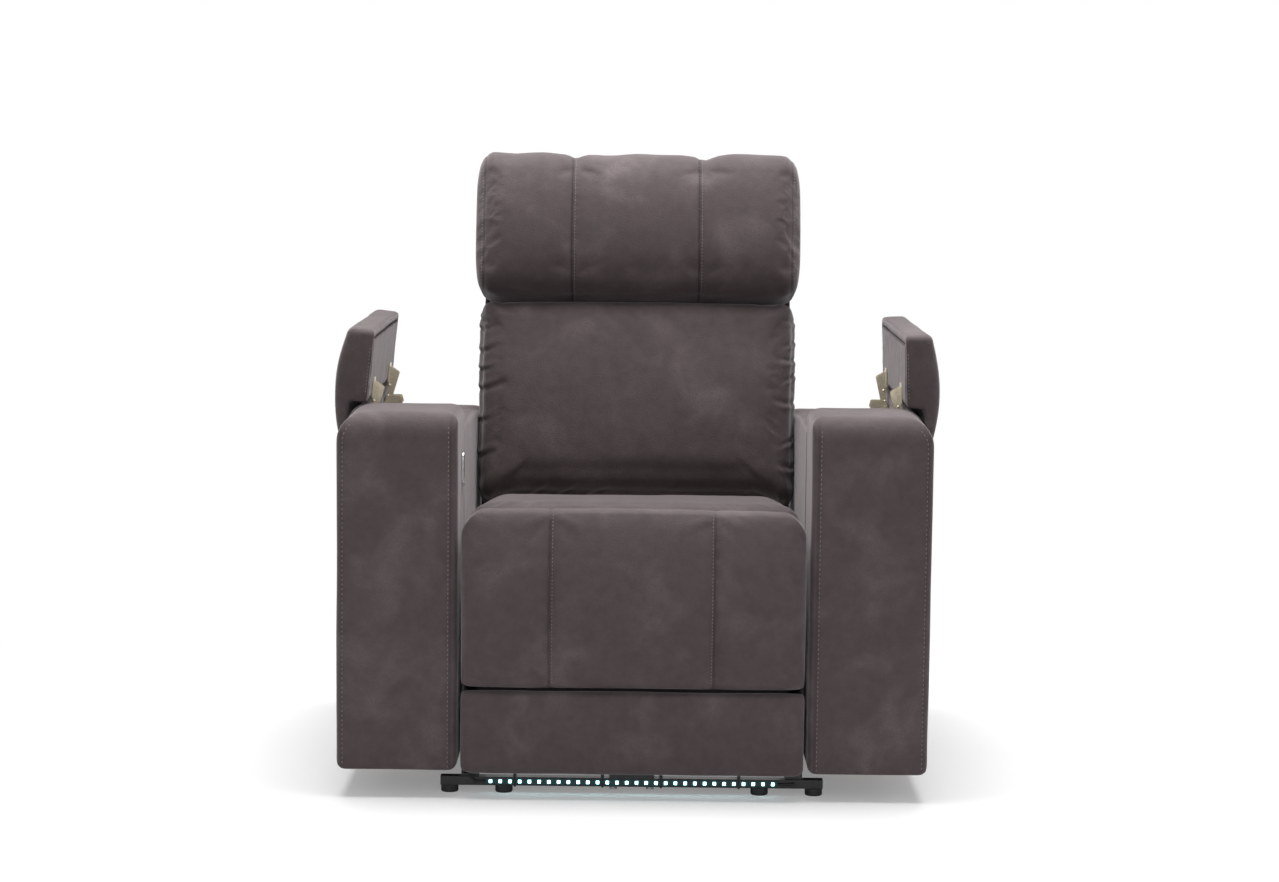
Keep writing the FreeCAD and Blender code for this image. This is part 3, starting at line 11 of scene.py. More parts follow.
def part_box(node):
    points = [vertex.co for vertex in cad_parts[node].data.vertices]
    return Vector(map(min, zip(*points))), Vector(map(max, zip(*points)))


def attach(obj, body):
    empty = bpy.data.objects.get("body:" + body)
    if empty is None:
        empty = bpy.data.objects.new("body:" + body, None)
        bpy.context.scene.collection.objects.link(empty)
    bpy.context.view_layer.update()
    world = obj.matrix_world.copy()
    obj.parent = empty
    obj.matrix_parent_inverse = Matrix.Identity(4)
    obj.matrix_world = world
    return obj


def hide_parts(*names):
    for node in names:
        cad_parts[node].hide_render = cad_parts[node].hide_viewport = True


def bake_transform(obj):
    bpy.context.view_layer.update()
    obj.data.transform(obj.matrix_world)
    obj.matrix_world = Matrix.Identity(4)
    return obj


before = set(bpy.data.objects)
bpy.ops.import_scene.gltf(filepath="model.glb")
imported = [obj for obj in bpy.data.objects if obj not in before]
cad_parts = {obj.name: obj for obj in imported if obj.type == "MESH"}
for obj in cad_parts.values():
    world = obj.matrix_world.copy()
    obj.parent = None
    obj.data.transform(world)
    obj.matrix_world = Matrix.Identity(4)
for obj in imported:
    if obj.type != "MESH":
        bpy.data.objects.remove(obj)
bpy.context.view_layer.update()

bl_info = {
    "name": "Cinema recliner seat",
    "version": (1, 0, 0),
    "blender": (4, 5, 0),
    "location": "View3D > Sidebar > Recliner",
    "description": "Upholstery, metalwork and studio for a power recliner with storage arms",
    "category": "Object",
}


# Settings


def colour(name, description, default):
    return FloatVectorProperty(
        name=name, description=description, subtype="COLOR", size=3, min=0, max=1, default=default
    )


def length(name, description, default):
    return FloatProperty(name=name, description=description, unit="LENGTH", default=default, precision=4)


def amount(name, description, default):
    return FloatProperty(name=name, description=description, default=default, min=0)


class FabricLook(bpy.types.PropertyGroup):
    base: colour("Base", "Colour of the brushed upholstery cloth", (0.063, 0.046, 0.048))
    pale: colour("Pale", "Colour where the nap is brushed light", (0.128, 0.101, 0.104))
    # Painted shade: the cloth is darkened towards this colour in its folds, along its seams and on the seat's
    # top
    shade_tint: colour("Deep", "Colour in the folds and along the seams", (0.020, 0.013, 0.014))
    thread: colour("Thread", "Colour of the stitching", (0.225, 0.194, 0.197))
    roughness: amount("Roughness", "Roughness of the nap", 0.78)
    sheen: amount("Sheen", "Soft light that the nap catches at its edges", 0.40)
    cloud: length("Cloud size", "Size of the pale clouds in the nap", 0.090)
    pebble: length("Pebble size", "Size of the pebbled grain", 0.0028)


class SewingSizes(bpy.types.PropertyGroup):
    groove_depth: length("Groove depth", "How far a seam is drawn in", 0.0030)
    groove_width: length("Groove width", "Half width of the hollow beside a seam", 0.0060)
    stitch: length("Stitch", "Length of one stitch", 0.0042)
    pitch: length("Stitch pitch", "Distance from stitch to stitch", 0.0062)
    arm_pitch: length("Arm stitch pitch", "Distance from stitch to stitch on the arms", 0.0080)
    thread_radius: length("Thread radius", "Radius of the sewing thread", 0.0007)
    beside: length("Beside the seam", "Distance of a stitch row from its seam", 0.0045)


class PaddingSizes(bpy.types.PropertyGroup):
    voxel: length("Grid", "Grid size that the padded forms are remeshed on", 0.005)
    pressure: amount("Pressure", "Air pressure inside the padded forms", 4.0)
    frames: IntProperty(name="Frames", description="Length of the cloth run", default=20, min=1)
    gather_depth: length("Gather depth", "Depth of the folds along the back cushion", 0.0021)


class MetalLook(bpy.types.PropertyGroup):
    black: colour("Black coat", "Powder coat of the frame", (0.016, 0.016, 0.018))
    steel: colour("Plain steel", "Bare steel of rods and springs", (0.52, 0.52, 0.53))
    zinc: colour("Yellow zinc", "Plating of the lid hinges", (0.88, 0.80, 0.62))
    chrome: colour("Chrome", "Plating of the switch bezel", (0.78, 0.78, 0.80))


class GlowLook(bpy.types.PropertyGroup):
    light: colour("Light", "Colour of the light chips", (0.45, 0.93, 1.0))
    strength: amount("Strength", "Strength of the light chips", 7.0)
    tape: colour("Tape", "Colour of the strip under the chips", (0.012, 0.030, 0.034))


class StudioSettings(bpy.types.PropertyGroup):
    place: FloatVectorProperty(
        name="Camera place", description="Where the camera stands", subtype="TRANSLATION",
        size=3, default=(0.0100, -5.2866, 1.1383)
    )
    turn: FloatVectorProperty(
        name="Camera turn", description="How the camera is turned", subtype="EULER",
        size=3, default=(math.radians(83.851), math.radians(-0.639), math.radians(0.104))
    )
    lens: FloatProperty(name="Lens", description="Focal length in millimetres", default=82.4)
    floor: colour("Floor", "Colour of the floor", (0.80, 0.80, 0.80))
    key: amount("Key lamp", "Power of the lamp over the seat", 133.0)
    front: amount("Front lamp", "Power of the lamp in front", 24.0)
    fill: amount("Side lamps", "Power of each lamp at the sides", 7.0)
    room: amount("Room light", "Strength of the even light of the room", 0.30)


def settings():
    return bpy.context.scene


# Grids that the thin covers are remeshed on, and the step between points of a stitched line
COVER_GRID = 0.005
FINE_GRID = 0.0045
LINING_GRID = 0.004
WALK = 0.004

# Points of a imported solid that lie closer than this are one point
MERGE = 0.00002

# Fractal noise: its roughness, the step between octaves and their number,
# and how far a seed moves the pattern
FRACTAL = (1.0, 2.0, 2)
SEED_STEPS = (7.31, 3.77, 5.13)

# Points nearer to a seam than this are moved onto it, and its line of painted shade is this share of its
# hollow
SEAM_SNAP = 0.0014
SEAM_LINE = 0.35

# How far in front of a piece its rows of stitches are cast from, near or far, and which way
NEAR_AHEAD = 0.05
AHEAD = 0.1
ONWARD = Vector((0, 1, 0))

# One stitch, as shares of its length: where it is cut, where its ends begin and their tips
STITCH_CUT = 0.28
STITCH_BEND = 0.27
STITCH_TIP = 0.5
# As shares of the thread's radius: how deep the ends go, and how far the stitch stands out
STITCH_SINK = 1.6
STITCH_LIFT = 0.35
# How much narrower the tips are
STITCH_TAPER = 0.45


# Mesh helpers


def pick(*objects):
    bpy.ops.object.select_all(action="DESELECT")
    for obj in objects:
        obj.select_set(True)
    bpy.context.view_layer.objects.active = objects[0]


@contextmanager
def editing(obj, mode="VERT"):
    pick(obj)
    bpy.ops.object.mode_set(mode="EDIT")
    bpy.ops.mesh.select_mode(type=mode)
    yield
    bpy.ops.object.mode_set(mode="OBJECT")


def settle(obj):
    """Moves the object's place, turn and scale into its mesh."""
    pick(obj)
    bpy.ops.object.transform_apply(location=True, rotation=True, scale=True)


def smooth(obj):
    pick(obj)
    bpy.ops.object.shade_smooth()


def points_of(obj):
    co = np.empty(len(obj.data.vertices) * 3)
    obj.data.vertices.foreach_get("co", co)
    return co.reshape(-1, 3)


def normals_of(obj):
    no = np.empty(len(obj.data.vertices) * 3)
    obj.data.vertices.foreach_get("normal", no)
    return no.reshape(-1, 3)


def set_points(obj, co):
    obj.data.vertices.foreach_set("co", np.ascontiguousarray(co).ravel())
    obj.data.update()


def set_mask(obj, name, values):
    """A value at each point of the mesh, which the cloth's material reads."""
    layer = obj.data.attributes.get(name) or obj.data.attributes.new(name, "FLOAT", "POINT")
    layer.data.foreach_set("value", np.clip(values, 0, 1).astype(np.float32))


def solid_copy(node, name):
    """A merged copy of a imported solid, to be worked on as a piece of its own."""
    obj = bpy.data.objects.new(name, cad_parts[node].data.copy())
    bpy.context.scene.collection.objects.link(obj)
    obj.data.materials.clear()
    with editing(obj):
        bpy.ops.mesh.select_all(action="SELECT")
        bpy.ops.mesh.remove_doubles(threshold=MERGE)
    return obj


def modify(obj, kind, **values):
    """Adds a modifier, sets its values and applies it."""
    modifier = obj.modifiers.new(kind.capitalize(), kind)
    for key, value in values.items():
        setattr(modifier, key, value)
    pick(obj)
    bpy.ops.object.modifier_apply(modifier=modifier.name)


def regrid(obj, size):
    modify(obj, "REMESH", mode="VOXEL", voxel_size=size, use_smooth_shade=True)


def relax(obj, rounds):
    """Evens the surface out."""
    modify(obj, "SMOOTH", iterations=rounds, factor=0.5)


def inflate(obj, pinned, give):
    """Swells the form by a cloth run under pressure, no point further than give."""
    padding = settings().padding
    before = points_of(obj)
    group = obj.vertex_groups.new(name="Held")
    group.add([int(i) for i in np.nonzero(pinned)[0]], 1.0, "REPLACE")
    cloth = obj.modifiers.new("Cloth", "CLOTH")
    cloth.settings.vertex_group_mass = "Held"
    cloth.settings.use_pressure = True
    cloth.settings.uniform_pressure_force = padding.pressure
    cloth.settings.effector_weights.gravity = 0
    cloth.settings.quality = 4
    cloth.settings.tension_stiffness = 12
    cloth.settings.compression_stiffness = 12
    cloth.settings.bending_stiffness = 0.4
    cloth.point_cache.frame_start = 1
    cloth.point_cache.frame_end = padding.frames
    for step in range(1, padding.frames + 1):
        bpy.context.scene.frame_set(step)
    pick(obj)
    bpy.ops.object.modifier_apply(modifier=cloth.name)
    bpy.context.scene.frame_set(1)
    obj.vertex_groups.clear()
    move = points_of(obj) - before
    far = np.linalg.norm(move, axis=1)
    scale = give * np.tanh(far / give) / np.maximum(far, 1e-9)
    set_points(obj, before + move * scale[:, None])


def cover_from(node, name, grid, rounds, shape=None):
    """A cover from its plain solid: regridded, shaped and evened out."""
    obj = solid_copy(node, name)
    regrid(obj, grid)
    if shape is not None:
        reshape(obj, shape)
    relax(obj, rounds)
    return obj


def pad_from(node, name, held, give, shrink, shape):
    """A padded piece from its plain solid: drawn in a little, shaped, swollen and refined."""
    obj = solid_copy(node, name)
    regrid(obj, settings().padding.voxel)
    set_points(obj, points_of(obj) - normals_of(obj) * shrink)
    reshape(obj, shape)
    relax(obj, rounds=3)
    inflate(obj, held(points_of(obj)), give)
    modify(obj, "SUBSURF", levels=1, render_levels=1)
    return obj


def reshape(obj, shape):
    """Runs shape on the points, which it changes in place."""
    co = points_of(obj)
    shape(co)
    set_points(obj, co)


def ripple(obj, size, seed, height, sink=0.0008):
    """Slight unevenness of a stretched cover, laid a little below the plain solid's surface."""
    co = points_of(obj)
    set_points(obj, co + normals_of(obj) * (field(co, size, seed) * height - sink)[:, None])


def past_edge(co, sides, radius):
    # Each side of an edge is (axis, place of the flat face, +1 or -1 for its way).
    return [np.clip(1 - way * (place - co[:, axis]) / radius, 0, None) for axis, place, way in sides]


def scale_edge(co, sides, radius, over, scale, inside):
    for (axis, place, way), share in zip(sides, over):
        co[:, axis] = np.where(inside, place - way * radius * (1 - share * scale), co[:, axis])


def round_off(co, *sides, radius):
    """Rounds an outer edge, in place."""
    over = past_edge(co, sides, radius)
    reach = np.hypot(*over)
    inside = (over[0] > 0) & (over[1] > 0) & (reach > 1)
    scale_edge(co, sides, radius, over, 1 / np.maximum(reach, 1), inside)


def square_up(co, *sides, radius, power=4):
    """Makes a round outer edge squarer, in place."""
    over = past_edge(co, sides, radius)
    square = (over[0] ** power + over[1] ** power) ** (1 / power)
    inside = (over[0] > 0) & (over[1] > 0)
    scale_edge(co, sides, radius, over, np.hypot(*over) / np.maximum(square, 1e-9), inside)


def draw_in(obj, distance, where, depth=None, width=None):
    """Sinks the surface along a seam, and gives back a narrow mask of painted shade along it. Distance is
    each point's way from the seam.
    """
    sewing = settings().sewing
    depth = depth or sewing.groove_depth
    width = width or sewing.groove_width
    near = np.exp(-np.abs(distance) / width) * where
    set_points(obj, points_of(obj) - normals_of(obj) * (near * depth)[:, None])
    return np.exp(-(distance / (SEAM_LINE * width)) ** 2) * where


def crease_fold(co, start, end, wide):
    """Heights of one fold that runs in the front view from start, at a seam, and dies out at end."""
    start, end = np.array(start), np.array(end)
    way = (end - start) / np.linalg.norm(end - start)
    flat = co[:, [0, 2]] - start
    along = flat @ way / np.linalg.norm(end - start)
    narrow = 0.55 + 0.45 * np.clip(along, 0, 1)
    beside = flat @ np.array((-way[1], way[0])) / (wide * narrow)
    strength = bend_between(along, -0.25, 0.05) * (1 - bend_between(along, 0.25, 1.0))
    ridge = 0.8 * np.exp(-(beside - 1.1) ** 2)
    hollow = np.exp(-(beside * 1.35) ** 2)
    return strength * (ridge - hollow)


def bend_between(values, low, high):
    """0 below low, 1 above high and a smooth step between."""
    t = np.clip((values - low) / (high - low), 0, 1)
    return t * t * (3 - 2 * t)


def field(co, size, seed):
    """Smooth noise at the points, from about -1 to 1."""
    shift = Vector([seed * step for step in SEED_STEPS])
    return np.array([noise.fractal(Vector(p) / size + shift, *FRACTAL) for p in co])


# Stitching


def surface(obj):
    graph = bpy.context.evaluated_depsgraph_get()
    graph.update()
    return BVHTree.FromObject(obj, graph)


def path_on(tree, points):
    """The points cast from the front onto the surface, with its normals."""
    hits = []
    for point in points:
        place, normal, _, _ = tree.ray_cast(Vector(point), ONWARD)
        if place is not None:
            hits.append((place, normal if normal.dot(ONWARD) < 0 else -normal))
    return hits


def one_stitch():
    """A short length of thread, round, with its ends turned down into the cloth."""
    sewing = settings().sewing
    radius = sewing.thread_radius
    bpy.ops.object.select_all(action="DESELECT")
    bpy.ops.mesh.primitive_cylinder_add(
        vertices=6, radius=radius, depth=sewing.stitch, rotation=(math.pi / 2, 0, 0), end_fill_type="NGON"
    )
    obj = bpy.context.object
    obj.name = "stitch"
    settle(obj)
    with editing(obj, "FACE"):
        for side in (1, -1):
            bpy.ops.mesh.select_all(action="SELECT")
            bpy.ops.mesh.bisect(plane_co=(0, side * sewing.stitch * STITCH_CUT, 0), plane_no=(0, 1, 0))
    co = points_of(obj)
    ends = bend_between(np.abs(co[:, 1]), sewing.stitch * STITCH_BEND, sewing.stitch * STITCH_TIP)
    co[:, 2] -= ends * radius * STITCH_SINK
    co[:, 0] *= 1 - STITCH_TAPER * ends
    set_points(obj, co)
    return obj


def column(x, y, top, bottom):
    """Points from top to bottom at width x, in front of the form."""
    return [(x, y, z) for z in np.arange(top, bottom, -WALK)]


def dimple(obj, where, wide, fine):
    """A soft uneven surface where the mask is 1. Both waves are (size, seed, height)."""
    co = points_of(obj)
    dip = field(co, *wide[:2]) * wide[2] + field(co, *fine[:2]) * fine[2]
    set_points(obj, co + normals_of(obj) * (dip * where)[:, None])


def sink_seam(obj, x, front, depth=None):
    """Draws in a seam that runs up the front at width x, on points moved onto it, and gives back the mask of
    painted shade along it.
    """
    co = points_of(obj)
    near = np.abs(co[:, 0] - x) < SEAM_SNAP
    co[near, 0] = x
    set_points(obj, co)
    return draw_in(obj, co[:, 0] - x, front, depth)


def sew(piece, name, body, lines, pitch=None):
    """Stitches on the piece, at an even pitch along lines of points in front of it."""
    pitch = pitch or settings().sewing.pitch
    lift = settings().sewing.thread_radius * STITCH_LIFT
    tree = surface(piece)
    pattern = one_stitch()
    base = points_of(pattern)
    faces = [tuple(face.vertices) for face in pattern.data.polygons]
    bpy.data.objects.remove(pattern)
    verts, polys = [], []
    for line in lines:
        row = path_on(tree, line)
        travelled, at = 0.0, 0.5 * pitch
        for (p0, n0), (p1, n1) in zip(row, row[1:]):
            step = (p1 - p0).length
            while step > 0 and travelled + step >= at:
                t = (at - travelled) / step
                place = p0.lerp(p1, t)
                up = n0.lerp(n1, t).normalized()
                along = (p1 - p0).normalized()
                across = along.cross(up).normalized()
                along = up.cross(across)
                basis = np.array([across, along, up])
                shift = np.array(place + up * lift)
                start = len(verts)
                verts.extend((base @ basis + shift).tolist())
                polys.extend(tuple(i + start for i in face) for face in faces)
                at += pitch
            travelled += step
    mesh = bpy.data.meshes.new(name)
    mesh.from_pydata(verts, [], polys)
    mesh.update()
    obj = bpy.data.objects.new(name, mesh)
    bpy.context.scene.collection.objects.link(obj)
    smooth(obj)
    obj.data.materials.append(bpy.data.materials["Thread"])
    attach(obj, body)


def dress(obj, body, node_name):
    """Gives a cover its cloth, puts it on the body it rides on, if any, and hides the solid it stands for."""
    obj.data.materials.clear()
    obj.data.materials.append(bpy.data.materials["Brushed cloth"])
    if "painted_shade" not in obj.data.attributes:
        set_mask(obj, "painted_shade", np.zeros(len(obj.data.vertices)))
    smooth(obj)
    if body is not None:
        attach(obj, body)
    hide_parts(node_name)


# Materials


def node(tree, kind, place=(0, 0), inputs=None, **values):
    made = tree.nodes.new(kind)
    made.location = place
    for key, value in values.items():
        setattr(made, key, value)
    set_inputs(tree, made, inputs or {})
    return made


def set_inputs(tree, target, inputs):
    """Each input is given a socket to link from, or a value."""
    for key, value in inputs.items():
        if isinstance(value, bpy.types.NodeSocket):
            tree.links.new(value, target.inputs[key])
        else:
            target.inputs[key].default_value = value


def new_group(name, inputs, outputs):
    tree = bpy.data.node_groups.new(name, "ShaderNodeTree")
    for label, default in inputs:
        socket = tree.interface.new_socket(name=label, in_out="INPUT", socket_type="NodeSocketFloat")
        socket.default_value = default
    for label in outputs:
        tree.interface.new_socket(name=label, in_out="OUTPUT", socket_type="NodeSocketFloat")
    source = node(tree, "NodeGroupInput", (-900, 0))
    sink = node(tree, "NodeGroupOutput", (900, 0))
    where = node(tree, "ShaderNodeTexCoord", (-900, -200))
    return tree, source.outputs, sink, where.outputs["Object"]


def arithmetic(tree, place, operation, *terms, clamp=False):
    terms = dict(enumerate(terms))
    return node(tree, "ShaderNodeMath", place, terms, operation=operation, use_clamp=clamp).outputs[0]


def noise_at(tree, place, where, scale, detail, **inputs):
    inputs.update(Vector=where, Scale=scale, Detail=detail)
    return node(tree, "ShaderNodeTexNoise", place, inputs).outputs["Fac"]


def remap(tree, place, value, low, high, to_low=0.0, to_high=1.0, kind="LINEAR"):
    limits = {"From Min": low, "From Max": high, "To Min": to_low, "To Max": to_high}
    made = node(tree, "ShaderNodeMapRange", place, {"Value": value, **limits}, interpolation_type=kind)
    return made.outputs["Result"]


def nap_clouds_group():
    """Large soft clouds and finer brushing of a napped cloth, as one tone from 0 to 1."""
    inputs = [("Cloud size", 0.09), ("Contrast", 1.0)]
    tree, given, sink, where = new_group("Nap clouds", inputs, ["Tone"])
    scale = arithmetic(tree, (-700, 100), "DIVIDE", 1.0, given["Cloud size"])
    finer = arithmetic(tree, (-700, -60), "MULTIPLY", scale, 4.2)
    big = noise_at(tree, (-480, 200), where, scale, 3.5, Roughness=0.52, Distortion=0.35)
    small = noise_at(tree, (-480, -100), where, finer, 6.0, Roughness=0.62)
    wide = remap(tree, (-260, 200), big, 0.46, 0.80, 0.0, 0.75, "SMOOTHSTEP")
    fine = remap(tree, (-260, -100), small, 0.35, 0.70, 0.0, 0.28)
    both = arithmetic(tree, (0, 60), "ADD", wide, fine)
    tone = arithmetic(tree, (200, 60), "MULTIPLY", both, given["Contrast"], clamp=True)
    set_inputs(tree, sink, {"Tone": tone})


def pebble_grain_group():
    """Close pebbles with fine hair between them, as a height and a mask of the hollows, which the cloth
    paints darker as shade.
    """
    inputs = [("Pebble size", 0.003)]
    tree, given, sink, where = new_group("Pebble grain", inputs, ["Height", "Hollows"])
    scale = arithmetic(tree, (-700, 100), "DIVIDE", 1.0, given["Pebble size"])
    texture = {"Vector": where, "Scale": scale, "Smoothness": 0.6, "Randomness": 0.9}
    pebbles = node(tree, "ShaderNodeTexVoronoi", (-480, 200), texture, feature="SMOOTH_F1")
    distance = pebbles.outputs["Distance"]
    hair = noise_at(tree, (-480, -100), where, 900.0, 3.0)
    rise = arithmetic(tree, (-260, 200), "SUBTRACT", 1.0, distance)
    height = arithmetic(tree, (0, 60), "MULTIPLY_ADD", hair, 0.35, rise)
    hollows = remap(tree, (0, -160), distance, 0.30, 0.95, 0.0, 0.55)
    set_inputs(tree, sink, {"Height": height, "Hollows": hollows})


def surface_wear_group():
    """Handling marks: fine specks and long faint smears, as a mask and a height."""
    inputs = [("Speck size", 0.002), ("Smear size", 0.05)]
    tree, given, sink, where = new_group("Surface wear", inputs, ["Mask", "Height"])
    marks = []
    for row, (label, _) in enumerate(inputs):
        scale = arithmetic(tree, (-700, -200 * row), "DIVIDE", 1.0, given[label])
        marks.append(noise_at(tree, (-480, -200 * row), where, scale, 4.0))
    both = arithmetic(tree, (-200, 0), "MULTIPLY", *marks)
    mask = remap(tree, (0, 0), both, 0.12, 0.42)
    set_inputs(tree, sink, {"Mask": mask, "Height": marks[0]})


def group_node(tree, name, place, inputs):
    return node(tree, "ShaderNodeGroup", place, inputs, node_tree=bpy.data.node_groups[name]).outputs


def new_material(name):
    material = bpy.data.materials.new(name)
    material.use_nodes = True
    tree = material.node_tree
    return tree, tree.nodes["Principled BSDF"]


def mix_colour(tree, place, factor, low, high):
    inputs = {"Factor": factor}
    for key, tint in (("A", low), ("B", high)):
        linked = isinstance(tint, bpy.types.NodeSocket)
        inputs[key] = tint if linked else (*tint, 1.0)
    made = node(tree, "ShaderNodeMix", place, inputs, data_type="RGBA", blend_type="MIX")
    return made.outputs["Result"]


def bump(tree, place, height, distance, strength):
    inputs = {"Height": height, "Distance": distance, "Strength": strength}
    return node(tree, "ShaderNodeBump", place, inputs).outputs["Normal"]


def cloth_material():
    look = settings().fabric
    tree, shader = new_material("Brushed cloth")
    clouds = group_node(tree, "Nap clouds", (-900, 200), {"Cloud size": look.cloud, "Contrast": 1.0})
    grain = group_node(tree, "Pebble grain", (-900, -200), {"Pebble size": look.pebble})
    # Painted shade: the mask read here darkens the cloth towards the shade colour in folds, along seams and
    # on the seat's top
    painted_shade = node(tree, "ShaderNodeAttribute", (-900, 500), attribute_name="painted_shade")
    tone = mix_colour(tree, (-600, 200), clouds["Tone"], look.base, look.pale)
    # The hollows of the pebbles are painted darker, as shade.
    grained = mix_colour(tree, (-300, 200), grain["Hollows"], tone, look.base)
    shaded = mix_colour(tree, (-150, 200), painted_shade.outputs["Fac"], grained, look.shade_tint)
    set_inputs(tree, shader, {
        "Base Color": shaded,
        "Normal": bump(tree, (-300, -300), grain["Height"], 0.0006, 0.55),
        "Roughness": look.roughness,
        "Specular IOR Level": 0.35,
        "Sheen Weight": look.sheen,
        "Sheen Roughness": 0.45,
        "Sheen Tint": (0.80, 0.74, 0.75, 1.0),
    })


def plain_material(
    name, tint, worn, roughness, metallic=0.0, coat=0.0, speck=0.002, smear=0.05, height=0.0002
):
    """Coated, plated or moulded finish whose colour and roughness vary with handling."""
    tree, shader = new_material(name)
    wear = group_node(tree, "Surface wear", (-900, 0), {"Speck size": speck, "Smear size": smear})
    rough = remap(tree, (-500, -50), wear["Mask"], 0.0, 1.0, roughness, min(1.0, roughness + 0.18))
    set_inputs(tree, shader, {
        "Base Color": mix_colour(tree, (-500, 200), wear["Mask"], tint, worn),
        "Roughness": rough,
        "Normal": bump(tree, (-300, -300), wear["Height"], height, 0.6),
        "Metallic": metallic,
        "Coat Weight": coat,
    })
    return tree, shader


def shade(tint, factor):
    return tuple(min(1.0, channel * factor) for channel in tint)


def make_materials():
    nap_clouds_group()
    pebble_grain_group()
    surface_wear_group()
    cloth_material()
    wood_material()
    fabric, metal, glow = settings().fabric, settings().metal, settings().glow
    thread, black, steel = fabric.thread, metal.black, metal.steel
    zinc, chrome = metal.zinc, metal.chrome
    plain_material("Thread", thread, shade(thread, 0.7), 0.7, speck=0.0008, smear=0.01)
    plain_material("Black coat", black, shade(black, 1.9), 0.42, coat=0.2, speck=0.0012, height=0.0003)
    plain_material("Plain steel", steel, shade(steel, 0.7), 0.32, metallic=1.0, speck=0.0015)
    plain_material("Yellow zinc", zinc, shade(zinc, 0.72), 0.26, metallic=1.0, speck=0.004, smear=0.02)
    plain_material("Chrome", chrome, shade(chrome, 0.9), 0.08, metallic=1.0, height=0.00005)
    plain_material("Black plastic", (0.018, 0.018, 0.020), (0.030, 0.030, 0.032), 0.5, speck=0.0009)
    plain_material("Switch plastic", (0.020, 0.020, 0.022), (0.034, 0.034, 0.036), 0.35, speck=0.0009)
    plain_material("Bin plastic", (0.022, 0.021, 0.022), (0.040, 0.038, 0.040), 0.55, speck=0.0012)
    felt, worn_felt = (0.020, 0.017, 0.018), (0.034, 0.030, 0.031)
    plain_material("Under cover", felt, worn_felt, 0.9, speck=0.001, height=0.0004)
    plain_material("Light tape", glow.tape, shade(glow.tape, 2.4), 0.4, speck=0.003)
    tree, shader = plain_material("Light chip", (0.75, 0.82, 0.80), (0.80, 0.86, 0.84), 0.3, speck=0.003)
    set_inputs(tree, shader, {"Emission Color": (*glow.light, 1.0), "Emission Strength": glow.strength})


def wood_material():
    """Rotary-cut plywood: long wavy grain with darker pores."""
    tree, shader = new_material("Plywood")
    where = node(tree, "ShaderNodeTexCoord", (-1100, 0)).outputs["Object"]
    mapping = node(tree, "ShaderNodeMapping", (-900, 0), {"Vector": where, "Scale": (5.0, 5.0, 34.0)})
    grain = noise_at(tree, (-700, 0), mapping.outputs["Vector"], 2.2, 7.0, Distortion=1.4)
    set_inputs(tree, shader, {
        "Base Color": mix_colour(tree, (-400, 100), grain, (0.36, 0.25, 0.15), (0.58, 0.44, 0.29)),
        "Normal": bump(tree, (-300, -200), grain, 0.0004, 0.5),
        "Roughness": 0.72,
    })


# Operators

FINISHES = {
    "black_steel": "Black coat",
    "plain_steel": "Plain steel",
    "yellow_zinc": "Yellow zinc",
    "black_plastic": "Black plastic",
    "switch_plastic": "Switch plastic",
    "bin_plastic": "Bin plastic",
    "chrome": "Chrome",
    "plywood": "Plywood",
    "covered_board": "Under cover",
    "light_tape": "Light tape",
    "light_chip": "Light chip",
    "upholstery": "Brushed cloth",
}


# Boards that show in the gaps between the cushions, where a dark felt covers them; their dark finish also
# paints the shade in those gaps
GAP_SHADE_BOARDS = ("footrest_board", "back_frame", "headrest_board")


class RECLINER_OT_finishes(bpy.types.Operator):
    """Makes the materials and gives each carried-over solid its finish"""

    bl_idname = "recliner.finishes"
    bl_label = "Finishes"

    def execute(self, context):
        make_materials()
        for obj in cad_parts.values():
            for slot in obj.material_slots:
                slot.material = bpy.data.materials[FINISHES[slot.material.name]]
        for name in GAP_SHADE_BOARDS:
            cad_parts[name].material_slots[0].material = bpy.data.materials["Under cover"]
        return {"FINISHED"}


def arm_side(name):
    return 1.0 if name.startswith("left") else -1.0


